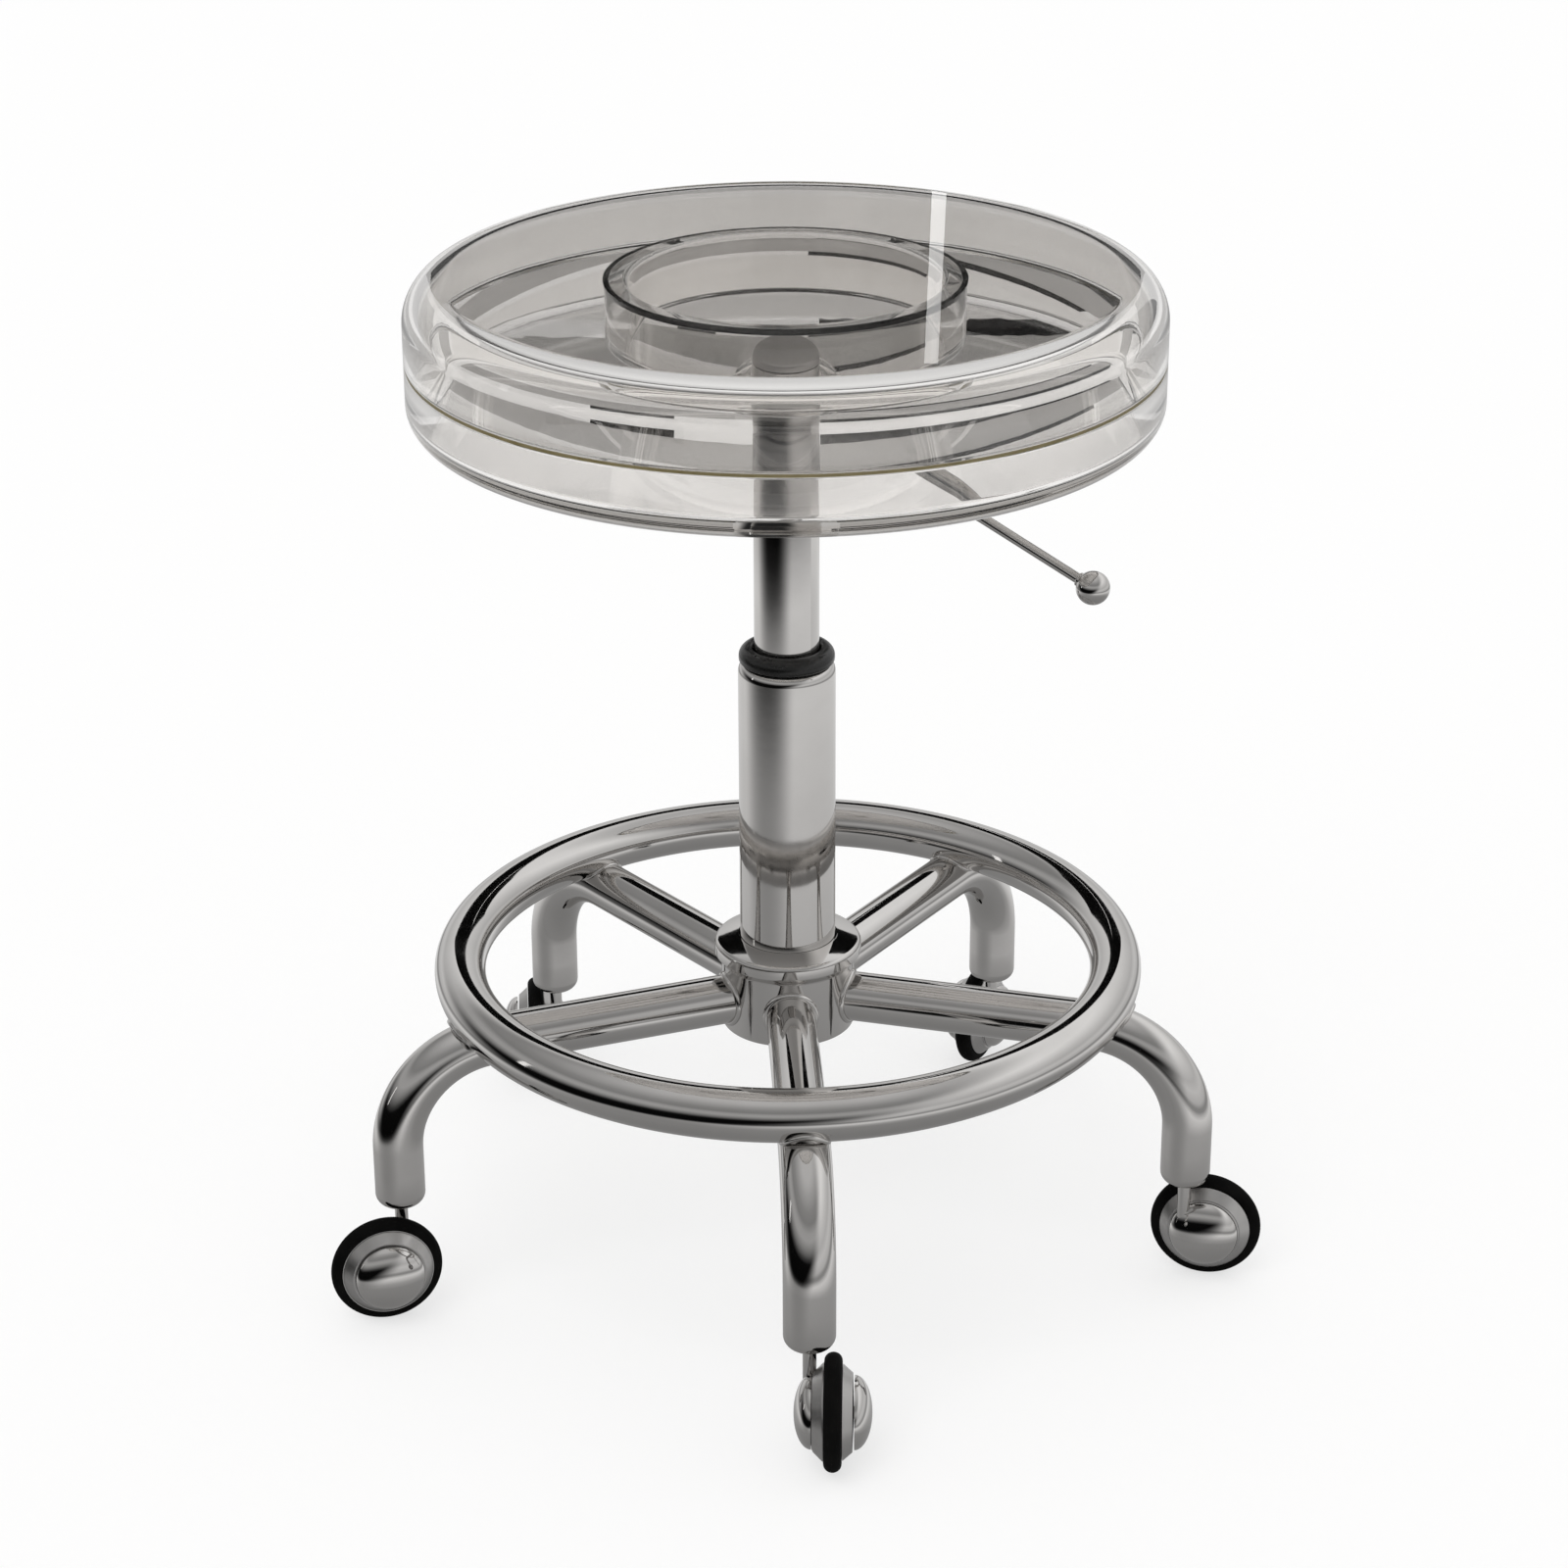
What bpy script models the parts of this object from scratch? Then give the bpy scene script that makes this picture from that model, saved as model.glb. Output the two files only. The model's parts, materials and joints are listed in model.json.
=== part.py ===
"""Swivel stool: a clear drum seat on a gas-lift column, over a tube base with a foot ring and casters.

Lengths are in metres and +Z is up. Every piece is modelled about the column's axis, and one empty then
sets the column over the floor so that the middle of the wheels' footprint is the origin.
"""
import math

import bmesh
import bpy
from mathutils import Matrix, Vector

# Fits and smoothness
GAP = 0.0003
RUNNING_GAP = 0.0004
CUT_PAST = 0.004
MERGE = 0.00001
ROUND_STEPS = 3
EDGE_STEPS = 2
SMOOTH_UNDER = math.radians(35)

# Legs: a level spoke, one bend, then a drop that holds the caster
LEG_COUNT = 5
FIRST_LEG_TURN = math.radians(-90)
LEG_R = 0.0125
LEG_REACH = 0.207
LEG_RISE = 0.0815
LEG_BEND_R = 0.050
LEG_OVER_WHEEL = 0.002
LEG_END_ROUND = 0.006
LEG_SIDES = 12
LEG_BEND_STEPS = 5

# Foot ring, let into the top of the legs
RING_R = 0.1655
RING_TUBE_R = 0.0128
RING_SET_IN = 0.0076
RING_STEPS = 40
RING_SIDES = 12

# Hub
HUB_UNDER_LEG = 0.004
HUB_OVER_LEG = 0.019
HUB_WALL = 0.0095
HUB_FLANGE_PROUD = 0.0035
HUB_FLANGE_H = 0.009
HUB_TAPER_H = 0.004
HUB_EDGE_ROUND = 0.0025
HUB_TOP_SLOPE = 0.002
HUB_LIP_T = 0.004
HUB_LIP_BORE_R = 0.016
HUB_STEPS = 40

# Column
COLUMN_R = 0.024
COLUMN_WALL = 0.0035
COLUMN_LIP_W = 0.0032
COLUMN_LIP_H = 0.005
FLOOR_T = 0.004
COLLAR_INSET = 0.0004
COLLAR_H = 0.008
COLLAR_ROUND_SHARE = 0.68
COLLAR_UNDER_ROUND = 0.002
COLLAR_SLEEVE_H = 0.034
COLUMN_STEPS = 24

# Gas lift
ROD_R = 0.005
ROD_TAIL = 0.0007
ROD_IN_CYLINDER = 0.025
LIFT_UP = 0.060
LIFT_DOWN = 0.060
LIFT_ROOM = 0.006
SHOULDER_PROUD = 0.0035
SHOULDER_H = 0.003
BEARING_W = 0.009
BEARING_H = 0.004
CLIP_PROUD = 0.004
CLIP_T = 0.0018
CLIP_GROOVE = 0.0011
CLIP_MOUTH = 0.006
CYLINDER_UNDER_LEVER = 0.0195
CYLINDER_HEAD_H = 0.029
CYLINDER_EDGE_ROUND = 0.002
BUTTON_R = 0.003
BUTTON_SUNK = 0.006
BUTTON_ROOM = 0.0025
LIFT_STEPS = 24
ROD_STEPS = 16

# Seat post
POST_R = 0.016
POST_WALL = 0.0015
POST_SHOWN = 0.1268

# Seat: a domed-edge lid and a tray that meet at a seam
SEAT_R = 0.180
SEAT_TOP_Z = 0.5155
SEAT_H = 0.070
SEAT_WALL = 0.0085
SEAT_TOP_ROUND = 0.020
SEAT_BOTTOM_ROUND = 0.012
SEAM_DROP = 0.0385
SEAL_T = 0.0012
SEAL_INSET = 0.0004
SEAT_STEPS = 36
SEAT_ROUND_STEPS = 4

# Clear ring bonded under the lid
CORE_RING_R = 0.085
CORE_RING_WALL = 0.011
CORE_RING_H = 0.030

# Post in the seat: the boss that holds it and the cap on its end
POST_IN_SEAT = 0.025
BOSS_W = 0.008
BOSS_H = 0.009
CAP_T = 0.0025
CAP_EDGE_ROUND = 0.001
CAP_SPIGOT_H = 0.006

# Height lever
LEVER_TURN = math.radians(-32.6)
LEVER_UNDER_SEAT = 0.031
LEVER_R = 0.0025
LEVER_INNER = -0.006
LEVER_BEND_AT = 0.091
LEVER_BEND_R = 0.040
LEVER_DROOP = math.radians(22.5)
LEVER_BALL_REACH = 0.1634
LEVER_BALL_R = 0.008
LEVER_SEAT_DEPTH = 0.006
LEVER_PIN_R = 0.0015
LEVER_EYE_R = 0.0045
LEVER_EYE_ROOM = 0.001
LEVER_LIFT = math.radians(8)
LEVER_SIDES = 8
LEVER_BALL_STEPS = 16
LEVER_BEND_STEPS = 5

# Casters: a stem, a fixed hood that carries the axle, and a wheel that turns beside it
CASTER_TURNS = [math.radians(a) for a in (-94.5, -15, 62, 92, 193)]
CASTER_TRAIL = 0.0105
WHEEL_R = 0.028
TYRE_W = 0.0086
TYRE_T = 0.005
TYRE_EDGE_ROUND = 0.003
TYRE_SEAT_IN = 0.0011
TYRE_SEAT_DEPTH = 0.002
FLANGE_W = 0.0055
FLANGE_RISE = 0.0055
HOOD_INSET = 0.0004
DOME_H = 0.0084
DOME_WALL = 0.0014
STEM_R = 0.00325
STEM_IN_LEG = 0.034
STEM_OVER_AXLE = 0.0025
STEM_BESIDE_TYRE = 0.00335
AXLE_R = 0.003
AXLE_IN_HOOD = 0.0086
AXLE_HEAD_R = 0.0055
AXLE_HEAD_H = 0.0018
WHEEL_STEPS = 16
PIN_STEPS = 10
DOME_STEPS = 4

# Levels and places that follow from the sizes above, from the floor up
LEG_END_Z = 2 * WHEEL_R + LEG_OVER_WHEEL
LEG_AXIS_Z = LEG_END_Z + LEG_RISE
RING_Z = LEG_AXIS_Z + LEG_R + RING_TUBE_R - RING_SET_IN
HUB_BOTTOM_Z = LEG_AXIS_Z - LEG_R - HUB_UNDER_LEG
HUB_TOP_Z = LEG_AXIS_Z + LEG_R + HUB_OVER_LEG
HUB_R = COLUMN_R + HUB_WALL
HUB_FLANGE_R = HUB_R + HUB_FLANGE_PROUD
COLUMN_BOTTOM_Z = HUB_BOTTOM_Z + HUB_LIP_T + GAP
COLUMN_BORE_R = COLUMN_R - COLUMN_WALL
FLOOR_TOP_Z = COLUMN_BOTTOM_Z + FLOOR_T
BEARING_Z = FLOOR_TOP_Z + GAP
SHOULDER_Z = BEARING_Z + BEARING_H + GAP
CLIP_TOP_Z = COLUMN_BOTTOM_Z - GAP
SEAT_BOTTOM_Z = SEAT_TOP_Z - SEAT_H
SEAM_Z = SEAT_TOP_Z - SEAM_DROP
TRAY_FLOOR_Z = SEAT_BOTTOM_Z + SEAT_WALL
POST_TOP_Z = SEAT_BOTTOM_Z + POST_IN_SEAT - CAP_T - GAP
POST_HOLE_R = POST_R + GAP
COLUMN_TOP_Z = SEAT_BOTTOM_Z - POST_SHOWN
COLLAR_R = COLUMN_R - COLLAR_INSET
COLLAR_BORE_R = POST_R + RUNNING_GAP
COLLAR_ROUND = COLLAR_ROUND_SHARE * (COLLAR_R - COLLAR_BORE_R)
LEVER_Z = SEAT_BOTTOM_Z - LEVER_UNDER_SEAT
LEVER_PIN_AT = POST_R - POST_WALL - LEVER_EYE_R - LEVER_EYE_ROOM
CYLINDER_R = POST_R - POST_WALL - GAP
CYLINDER_TOP_Z = LEVER_Z - CYLINDER_UNDER_LEVER
CYLINDER_BORE_TOP_Z = CYLINDER_TOP_Z - CYLINDER_HEAD_H
ROD_TOP_Z = CYLINDER_BORE_TOP_Z - LIFT_DOWN - LIFT_ROOM
POST_BOTTOM_Z = ROD_TOP_Z - LIFT_UP - ROD_IN_CYLINDER
TYRE_FLANK = TYRE_W / 2
RIM_FACE = TYRE_FLANK + FLANGE_RISE
RIM_R = WHEEL_R - TYRE_T
DOME_R = RIM_R - FLANGE_W
CASTER_OFFSET = TYRE_FLANK + GAP + STEM_R + STEM_BESIDE_TYRE
STEM_FOOT_Z = WHEEL_R + STEM_OVER_AXLE
STEM_TOP_Z = LEG_END_Z + STEM_IN_LEG
WHEEL_FLAT = math.cos(math.pi / WHEEL_STEPS)

# Finishes: name, colour, roughness, metallic, transmission
CHROME = ("chrome", (0.62, 0.61, 0.60, 1.0), 0.06, 1.0, 0.0)
CLEAR = ("clear_acrylic", (0.86, 0.87, 0.86, 1.0), 0.03, 0.0, 1.0)
SEAL = ("seam_seal", (0.30, 0.24, 0.10, 1.0), 0.45, 0.0, 0.0)
BLACK = ("black_plastic", (0.012, 0.012, 0.012, 1.0), 0.35, 0.0, 0.0)
RUBBER = ("tyre_rubber", (0.010, 0.010, 0.010, 1.0), 0.65, 0.0, 0.0)
STEEL = ("bright_steel", (0.50, 0.50, 0.51, 1.0), 0.28, 1.0, 0.0)


def clear_scene():
    for obj in list(bpy.data.objects):
        bpy.data.objects.remove(obj, do_unlink=True)


def new_collection(name):
    collection = bpy.data.collections.new(name)
    bpy.context.scene.collection.children.link(collection)
    return collection


def material(finish):
    """The Principled material of a finish, made the first time it is asked for."""
    name, colour, roughness, metallic, transmission = finish
    found = bpy.data.materials.get(name)
    if found:
        return found
    made = bpy.data.materials.new(name)
    made.use_nodes = True
    made.diffuse_color = colour
    shader = made.node_tree.nodes["Principled BSDF"]
    shader.inputs["Base Color"].default_value = colour
    shader.inputs["Roughness"].default_value = roughness
    shader.inputs["Metallic"].default_value = metallic
    shader.inputs["Transmission Weight"].default_value = transmission
    return made


def empty_at(name, location, parent=None, turn=(0, 0, 0)):
    empty = bpy.data.objects.new(name, None)
    empty.location = location
    empty.rotation_euler = turn
    empty.parent = parent
    PARTS.objects.link(empty)
    return empty


def add_object(name, mesh, collection):
    obj = bpy.data.objects.new(name, mesh)
    collection.objects.link(obj)
    return obj


def arc(centre, radius, start_deg, end_deg, steps):
    """Points of an arc in the profile plane, both ends included."""
    points = []
    for i in range(steps + 1):
        angle = math.radians(start_deg + (end_deg - start_deg) * i / steps)
        points.append((centre[0] + radius * math.cos(angle), centre[1] + radius * math.sin(angle)))
    return points


def half_oval(base_z, radius, height, steps):
    """A dome's outline from its base circle to its pole, along +z or, with a negative height, -z."""
    points = []
    for i in range(steps + 1):
        angle = math.pi / 2 * i / steps
        points.append((radius * math.cos(angle), base_z + height * math.sin(angle)))
    points[-1] = (0.0, base_z + height)
    return points


def turned(name, profile, steps, closed=True):
    """A turned piece: a profile of (radius, height) points, listed down its outer side, swept round Z."""
    mesh = bpy.data.meshes.new(name)
    ends = [(i, i + 1) for i in range(len(profile) - 1)]
    if closed:
        ends.append((len(profile) - 1, 0))
    mesh.from_pydata([(r, 0.0, z) for r, z in profile], ends, [])
    obj = add_object(name, mesh, BENCH)
    screw = obj.modifiers.new("turn", "SCREW")
    screw.axis = "Z"
    screw.angle = 2 * math.pi
    screw.steps = steps
    screw.render_steps = steps
    screw.use_merge_vertices = True
    screw.merge_threshold = MERGE
    return obj


def ring_profile(inner, outer, bottom, top):
    return [(inner, top), (outer, top), (outer, bottom), (inner, bottom)]


def rod_profile(radius, bottom, top):
    return [(0.0, top), (radius, top), (radius, bottom), (0.0, bottom)]


def tube(name, points, radii, sides):
    """A round bar along a run of points, each with its own radius, closed at both ends."""
    curve = bpy.data.curves.new(name, "CURVE")
    curve.dimensions = "3D"
    curve.bevel_mode = "ROUND"
    curve.bevel_depth = 1.0
    curve.bevel_resolution = sides // 2 - 2
    curve.use_fill_caps = True
    spline = curve.splines.new("POLY")
    spline.points.add(len(points) - 1)
    for point, place, radius in zip(spline.points, points, radii):
        point.co = (*place, 1.0)
        point.radius = radius
    guide = add_object(name, curve, BENCH)
    mesh = baked(guide, name)
    shape = bmesh.new()
    shape.from_mesh(mesh)
    bmesh.ops.remove_doubles(shape, verts=shape.verts, dist=MERGE)
    bmesh.ops.recalc_face_normals(shape, faces=shape.faces)
    shape.to_mesh(mesh)
    shape.free()
    return add_object(name, mesh, BENCH)


def bar(name, radius, start, end, steps):
    """A plain round bar between two points, used as a cutter or as a boss."""
    axis = Vector(end) - Vector(start)
    middle = Matrix.Translation((Vector(start) + Vector(end)) / 2)
    mesh = bpy.data.meshes.new(name)
    shape = bmesh.new()
    bmesh.ops.create_cone(
        shape, cap_ends=True, segments=steps, radius1=radius, radius2=radius, depth=axis.length,
        matrix=middle @ axis.to_track_quat("Z", "X").to_matrix().to_4x4(),
    )
    shape.to_mesh(mesh)
    shape.free()
    return add_object(name, mesh, BENCH)


def block(name, low, high):
    """A box between two corners, used as a cutter."""
    size = Vector(high) - Vector(low)
    middle = Matrix.Translation((Vector(low) + Vector(high)) / 2)
    mesh = bpy.data.meshes.new(name)
    shape = bmesh.new()
    bmesh.ops.create_cube(shape, size=1.0, matrix=middle @ Matrix.Diagonal((*size, 1.0)))
    shape.to_mesh(mesh)
    shape.free()
    return add_object(name, mesh, BENCH)


def combine(obj, tool, operation):
    step = obj.modifiers.new(tool.name, "BOOLEAN")
    step.operation = operation
    step.object = tool
    step.solver = "EXACT"


def cut(obj, *tools):
    for tool in tools:
        combine(obj, tool, "DIFFERENCE")
    return obj


def baked(obj, name):
    """The finished mesh of an object with its modifiers; the object itself is removed."""
    bpy.context.view_layer.update()
    seen = obj.evaluated_get(bpy.context.evaluated_depsgraph_get())
    mesh = bpy.data.meshes.new_from_object(seen)
    mesh.name = name
    bpy.data.objects.remove(obj, do_unlink=True)
    return mesh


def place(name, mesh, finish, parent, turn=(0, 0, 0)):
    """One piece of the stool: a named object on its parent's axis, in its own finish."""
    obj = add_object(name, mesh, PARTS)
    obj.parent = parent
    obj.rotation_euler = turn
    if not mesh.materials:
        mesh.materials.append(material(finish))
    mesh.shade_smooth()
    mesh.set_sharp_from_angle(angle=SMOOTH_UNDER)
    return obj


def piece(obj, finish, parent, turn=(0, 0, 0)):
    name = obj.name
    return place(name, baked(obj, name), finish, parent, turn)


def wheel_middle(index):
    """Where a caster's wheel stands, about the column axis, and the way its tread runs."""
    leg = FIRST_LEG_TURN + 2 * math.pi * index / LEG_COUNT
    turn = CASTER_TURNS[index]
    along = Vector((math.cos(turn), math.sin(turn)))
    across = Vector((-math.sin(turn), math.cos(turn)))
    stem = LEG_REACH * Vector((math.cos(leg), math.sin(leg)))
    return stem + CASTER_TRAIL * along + CASTER_OFFSET * across, along, across


def footprint_middle():
    """The middle of the box round the five tyres, about the column axis."""
    low = Vector((0.0, 0.0))
    high = Vector((0.0, 0.0))
    for index in range(LEG_COUNT):
        middle, along, across = wheel_middle(index)
        for k in range(2):
            reach = WHEEL_R * abs(along[k]) + TYRE_FLANK * abs(across[k])
            low[k] = min(low[k], middle[k] - reach)
            high[k] = max(high[k], middle[k] + reach)
    return (low + high) / 2


def ring_bar(name, thickness):
    """A round bar bent into the foot ring's circle, at the ring's height."""
    bpy.ops.mesh.primitive_torus_add(
        major_segments=RING_STEPS, minor_segments=RING_SIDES, major_radius=RING_R, minor_radius=thickness,
    )
    ring = bpy.context.object
    ring.name = name
    ring.data.transform(Matrix.Translation((0, 0, RING_Z)))
    return ring


def make_base(stool):
    piece(ring_bar("foot_ring", RING_TUBE_R), CHROME, stool)

    lip_z = HUB_BOTTOM_Z + HUB_LIP_T
    shoulder_z = HUB_TOP_Z - HUB_TOP_SLOPE
    edge_mid = (HUB_FLANGE_R - HUB_EDGE_ROUND, shoulder_z - HUB_EDGE_ROUND)
    hub = [(COLUMN_R + GAP, HUB_TOP_Z)] + arc(edge_mid, HUB_EDGE_ROUND, 90, 0, ROUND_STEPS)
    hub.append((HUB_FLANGE_R, HUB_TOP_Z - HUB_FLANGE_H))
    hub.append((HUB_R, HUB_TOP_Z - HUB_FLANGE_H - HUB_TAPER_H))
    hub.append((HUB_R, HUB_BOTTOM_Z))
    hub += [(HUB_LIP_BORE_R, HUB_BOTTOM_Z), (HUB_LIP_BORE_R, lip_z), (COLUMN_R + GAP, lip_z)]
    piece(turned("base_hub", hub, HUB_STEPS), CHROME, stool)

    lip_in = COLUMN_R - COLUMN_LIP_W
    lip_low = COLUMN_TOP_Z - COLUMN_LIP_H
    column = [(COLUMN_BORE_R, COLUMN_TOP_Z)]
    for across, up in arc((0, 0), 1, 90, 0, ROUND_STEPS):
        column.append((lip_in + COLUMN_LIP_W * across, lip_low + COLUMN_LIP_H * up))
    column += [(COLUMN_R, COLUMN_BOTTOM_Z), (COLUMN_BORE_R, COLUMN_BOTTOM_Z)]
    piece(turned("column_tube", column, COLUMN_STEPS), CHROME, stool)
    rod_hole = ROD_R + RUNNING_GAP
    floor = ring_profile(rod_hole, COLUMN_BORE_R - GAP, COLUMN_BOTTOM_Z, FLOOR_TOP_Z)
    piece(turned("column_floor", floor, COLUMN_STEPS), STEEL, stool)
    bearing = ring_profile(rod_hole, ROD_R + BEARING_W, BEARING_Z, BEARING_Z + BEARING_H)
    piece(turned("thrust_bearing", bearing, ROD_STEPS), STEEL, stool)

    collar_low = COLUMN_TOP_Z + GAP
    collar_top = collar_low + COLLAR_H
    sleeve_low = collar_low - COLLAR_SLEEVE_H
    top_mid = (COLLAR_R - COLLAR_ROUND, collar_top - COLLAR_ROUND)
    collar = [(COLLAR_BORE_R, collar_top - COLLAR_ROUND / 2)]
    collar.append((COLLAR_BORE_R + COLLAR_ROUND / 4, collar_top))
    under_mid = (COLLAR_R - COLLAR_UNDER_ROUND, collar_low + COLLAR_UNDER_ROUND)
    collar += arc(top_mid, COLLAR_ROUND, 90, 0, ROUND_STEPS)
    collar += arc(under_mid, COLLAR_UNDER_ROUND, 0, -90, EDGE_STEPS)
    collar += [(COLUMN_BORE_R - GAP, collar_low), (COLUMN_BORE_R - GAP, sleeve_low)]
    collar.append((COLLAR_BORE_R, sleeve_low))
    piece(turned("column_collar", collar, COLUMN_STEPS), BLACK, stool)


def leg_mesh():
    """A leg along +X: spoke, bend and drop, coped to the hub, notched for the ring and bored for a stem."""
    bend_x = LEG_REACH - LEG_BEND_R
    bend_z = LEG_AXIS_Z - LEG_BEND_R
    path = [(HUB_R - LEG_R, 0.0, LEG_AXIS_Z)]
    path += [(x, 0.0, z) for x, z in arc((bend_x, bend_z), LEG_BEND_R, 90, 0, LEG_BEND_STEPS)]
    radii = [LEG_R] * len(path)
    end_mid = (LEG_R - LEG_END_ROUND, LEG_END_Z + LEG_END_ROUND)
    for r, z in arc(end_mid, LEG_END_ROUND, 0, -90, EDGE_STEPS):
        path.append((LEG_REACH, 0.0, z))
        radii.append(r)
    leg = tube("leg", path, radii, LEG_SIDES)
    hub_room = rod_profile(HUB_R + GAP, HUB_BOTTOM_Z - CUT_PAST, HUB_TOP_Z + CUT_PAST)
    cope = turned("leg_cope", hub_room, HUB_STEPS, False)
    notch = ring_bar("ring_notch", RING_TUBE_R + GAP)
    bore = bar("stem_bore", STEM_R + RUNNING_GAP, (LEG_REACH, 0, LEG_END_Z - CUT_PAST),
               (LEG_REACH, 0, STEM_TOP_Z + GAP), PIN_STEPS)
    return finish_cut(leg, cope, notch, bore)


def finish_cut(obj, *tools):
    """The mesh of an object after its cuts, with the tools put away."""
    cut(obj, *tools)
    mesh = baked(obj, obj.name)
    for tool in tools:
        bpy.data.objects.remove(tool, do_unlink=True)
    return mesh


def make_legs(stool):
    mesh = leg_mesh()
    for index in range(LEG_COUNT):
        turn = FIRST_LEG_TURN + 2 * math.pi * index / LEG_COUNT
        place(f"leg_{index + 1}", mesh, CHROME, stool, (0, 0, turn))


def make_spindle(spindle):
    """The piston rod, which turns on the thrust bearing, and the clip that holds it down."""
    groove_r = ROD_R - CLIP_GROOVE
    groove_low = CLIP_TOP_Z - CLIP_T - GAP
    groove_top = CLIP_TOP_Z + GAP
    rod_end = groove_low - ROD_TAIL
    shoulder_r = ROD_R + SHOULDER_PROUD
    shoulder_top = SHOULDER_Z + SHOULDER_H
    rod = [(0.0, ROD_TOP_Z), (ROD_R, ROD_TOP_Z), (ROD_R, shoulder_top), (shoulder_r, shoulder_top)]
    rod += [(shoulder_r, SHOULDER_Z), (ROD_R, SHOULDER_Z), (ROD_R, groove_top), (groove_r, groove_top)]
    rod += [(groove_r, groove_low), (ROD_R, groove_low), (ROD_R, rod_end), (0.0, rod_end)]
    piece(turned("piston_rod", rod, ROD_STEPS, False), CHROME, spindle)

    clip_r = ROD_R + CLIP_PROUD
    clip_low = CLIP_TOP_Z - CLIP_T
    clip = turned("retaining_clip", ring_profile(groove_r + GAP, clip_r, clip_low, CLIP_TOP_Z), ROD_STEPS)
    mouth = block("clip_mouth", (0, -CLIP_MOUTH / 2, clip_low - CUT_PAST),
                  (clip_r + CUT_PAST, CLIP_MOUTH / 2, CLIP_TOP_Z + CUT_PAST))
    place("retaining_clip", finish_cut(clip, mouth), STEEL, spindle)


def make_post(seat, lever_line):
    """The chrome post with the lever's slot and pin holes, and the gas cylinder inside it."""
    wall = ring_profile(POST_R - POST_WALL, POST_R, POST_BOTTOM_Z, POST_TOP_Z)
    post = turned("seat_post", wall, LIFT_STEPS)
    half_w = LEVER_R + 2 * RUNNING_GAP
    swing = (POST_R - LEVER_PIN_AT) * math.sin(LEVER_LIFT)
    slot = block("lever_slot", (LEVER_PIN_AT, -half_w, LEVER_Z - half_w),
                 (POST_R + CUT_PAST, half_w, LEVER_Z + half_w + swing))
    hole = bar("pin_hole", LEVER_PIN_R + GAP, (LEVER_PIN_AT, -POST_R - CUT_PAST, LEVER_Z),
               (LEVER_PIN_AT, POST_R + CUT_PAST, LEVER_Z), PIN_STEPS)
    place("seat_post", finish_cut(post, slot, hole), CHROME, seat, lever_line)

    well_r = BUTTON_R + RUNNING_GAP
    well_z = CYLINDER_TOP_Z - BUTTON_SUNK - BUTTON_ROOM
    edge_mid = (CYLINDER_R - CYLINDER_EDGE_ROUND, CYLINDER_TOP_Z - CYLINDER_EDGE_ROUND)
    cylinder = [(0.0, well_z), (well_r, well_z), (well_r, CYLINDER_TOP_Z)]
    cylinder += arc(edge_mid, CYLINDER_EDGE_ROUND, 90, 0, EDGE_STEPS)
    cylinder += [(CYLINDER_R, POST_BOTTOM_Z), (ROD_R + RUNNING_GAP, POST_BOTTOM_Z)]
    cylinder += [(ROD_R + RUNNING_GAP, CYLINDER_BORE_TOP_Z), (0.0, CYLINDER_BORE_TOP_Z)]
    piece(turned("gas_cylinder", cylinder, LIFT_STEPS, False), BLACK, seat, lever_line)


def make_button(seat):
    top = LEVER_Z - LEVER_R - GAP
    button = rod_profile(BUTTON_R, CYLINDER_TOP_Z - BUTTON_SUNK, top)
    guide = empty_at("button_guide", (0, 0, 0), seat)
    piece(turned("release_button", button, PIN_STEPS, False), STEEL, guide)


def make_seat(seat):
    inner_r = SEAT_R - SEAT_WALL
    lid_low = SEAM_Z + SEAL_T / 2 + GAP
    tray_high = SEAM_Z - SEAL_T / 2 - GAP
    lid_under_z = SEAT_TOP_Z - SEAT_WALL
    top_mid = (SEAT_R - SEAT_TOP_ROUND, SEAT_TOP_Z - SEAT_TOP_ROUND)
    lid = [(0.0, SEAT_TOP_Z)] + arc(top_mid, SEAT_TOP_ROUND, 90, 0, SEAT_ROUND_STEPS)
    lid += [(SEAT_R, lid_low), (inner_r, lid_low)]
    lid += arc(top_mid, SEAT_TOP_ROUND - SEAT_WALL, 0, 90, SEAT_ROUND_STEPS)
    lid.append((0.0, lid_under_z))
    piece(turned("seat_lid", lid, SEAT_STEPS, False), CLEAR, seat)

    low_mid = (SEAT_R - SEAT_BOTTOM_ROUND, SEAT_BOTTOM_Z + SEAT_BOTTOM_ROUND)
    tray = [(POST_HOLE_R, TRAY_FLOOR_Z)]
    tray += arc(low_mid, SEAT_BOTTOM_ROUND - SEAT_WALL, -90, 0, SEAT_ROUND_STEPS)
    tray += [(inner_r, tray_high), (SEAT_R, tray_high)]
    tray += arc(low_mid, SEAT_BOTTOM_ROUND, 0, -90, SEAT_ROUND_STEPS)
    tray.append((POST_HOLE_R, SEAT_BOTTOM_Z))
    piece(turned("seat_tray", tray, SEAT_STEPS), CLEAR, seat)

    seal = ring_profile(inner_r + SEAL_INSET, SEAT_R - SEAL_INSET, SEAM_Z - SEAL_T / 2, SEAM_Z + SEAL_T / 2)
    piece(turned("seat_seal", seal, SEAT_STEPS), SEAL, seat)
    core_top = lid_under_z - GAP
    core = ring_profile(CORE_RING_R - CORE_RING_WALL, CORE_RING_R, core_top - CORE_RING_H, core_top)
    piece(turned("core_ring", core, SEAT_STEPS), CLEAR, seat)


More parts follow.
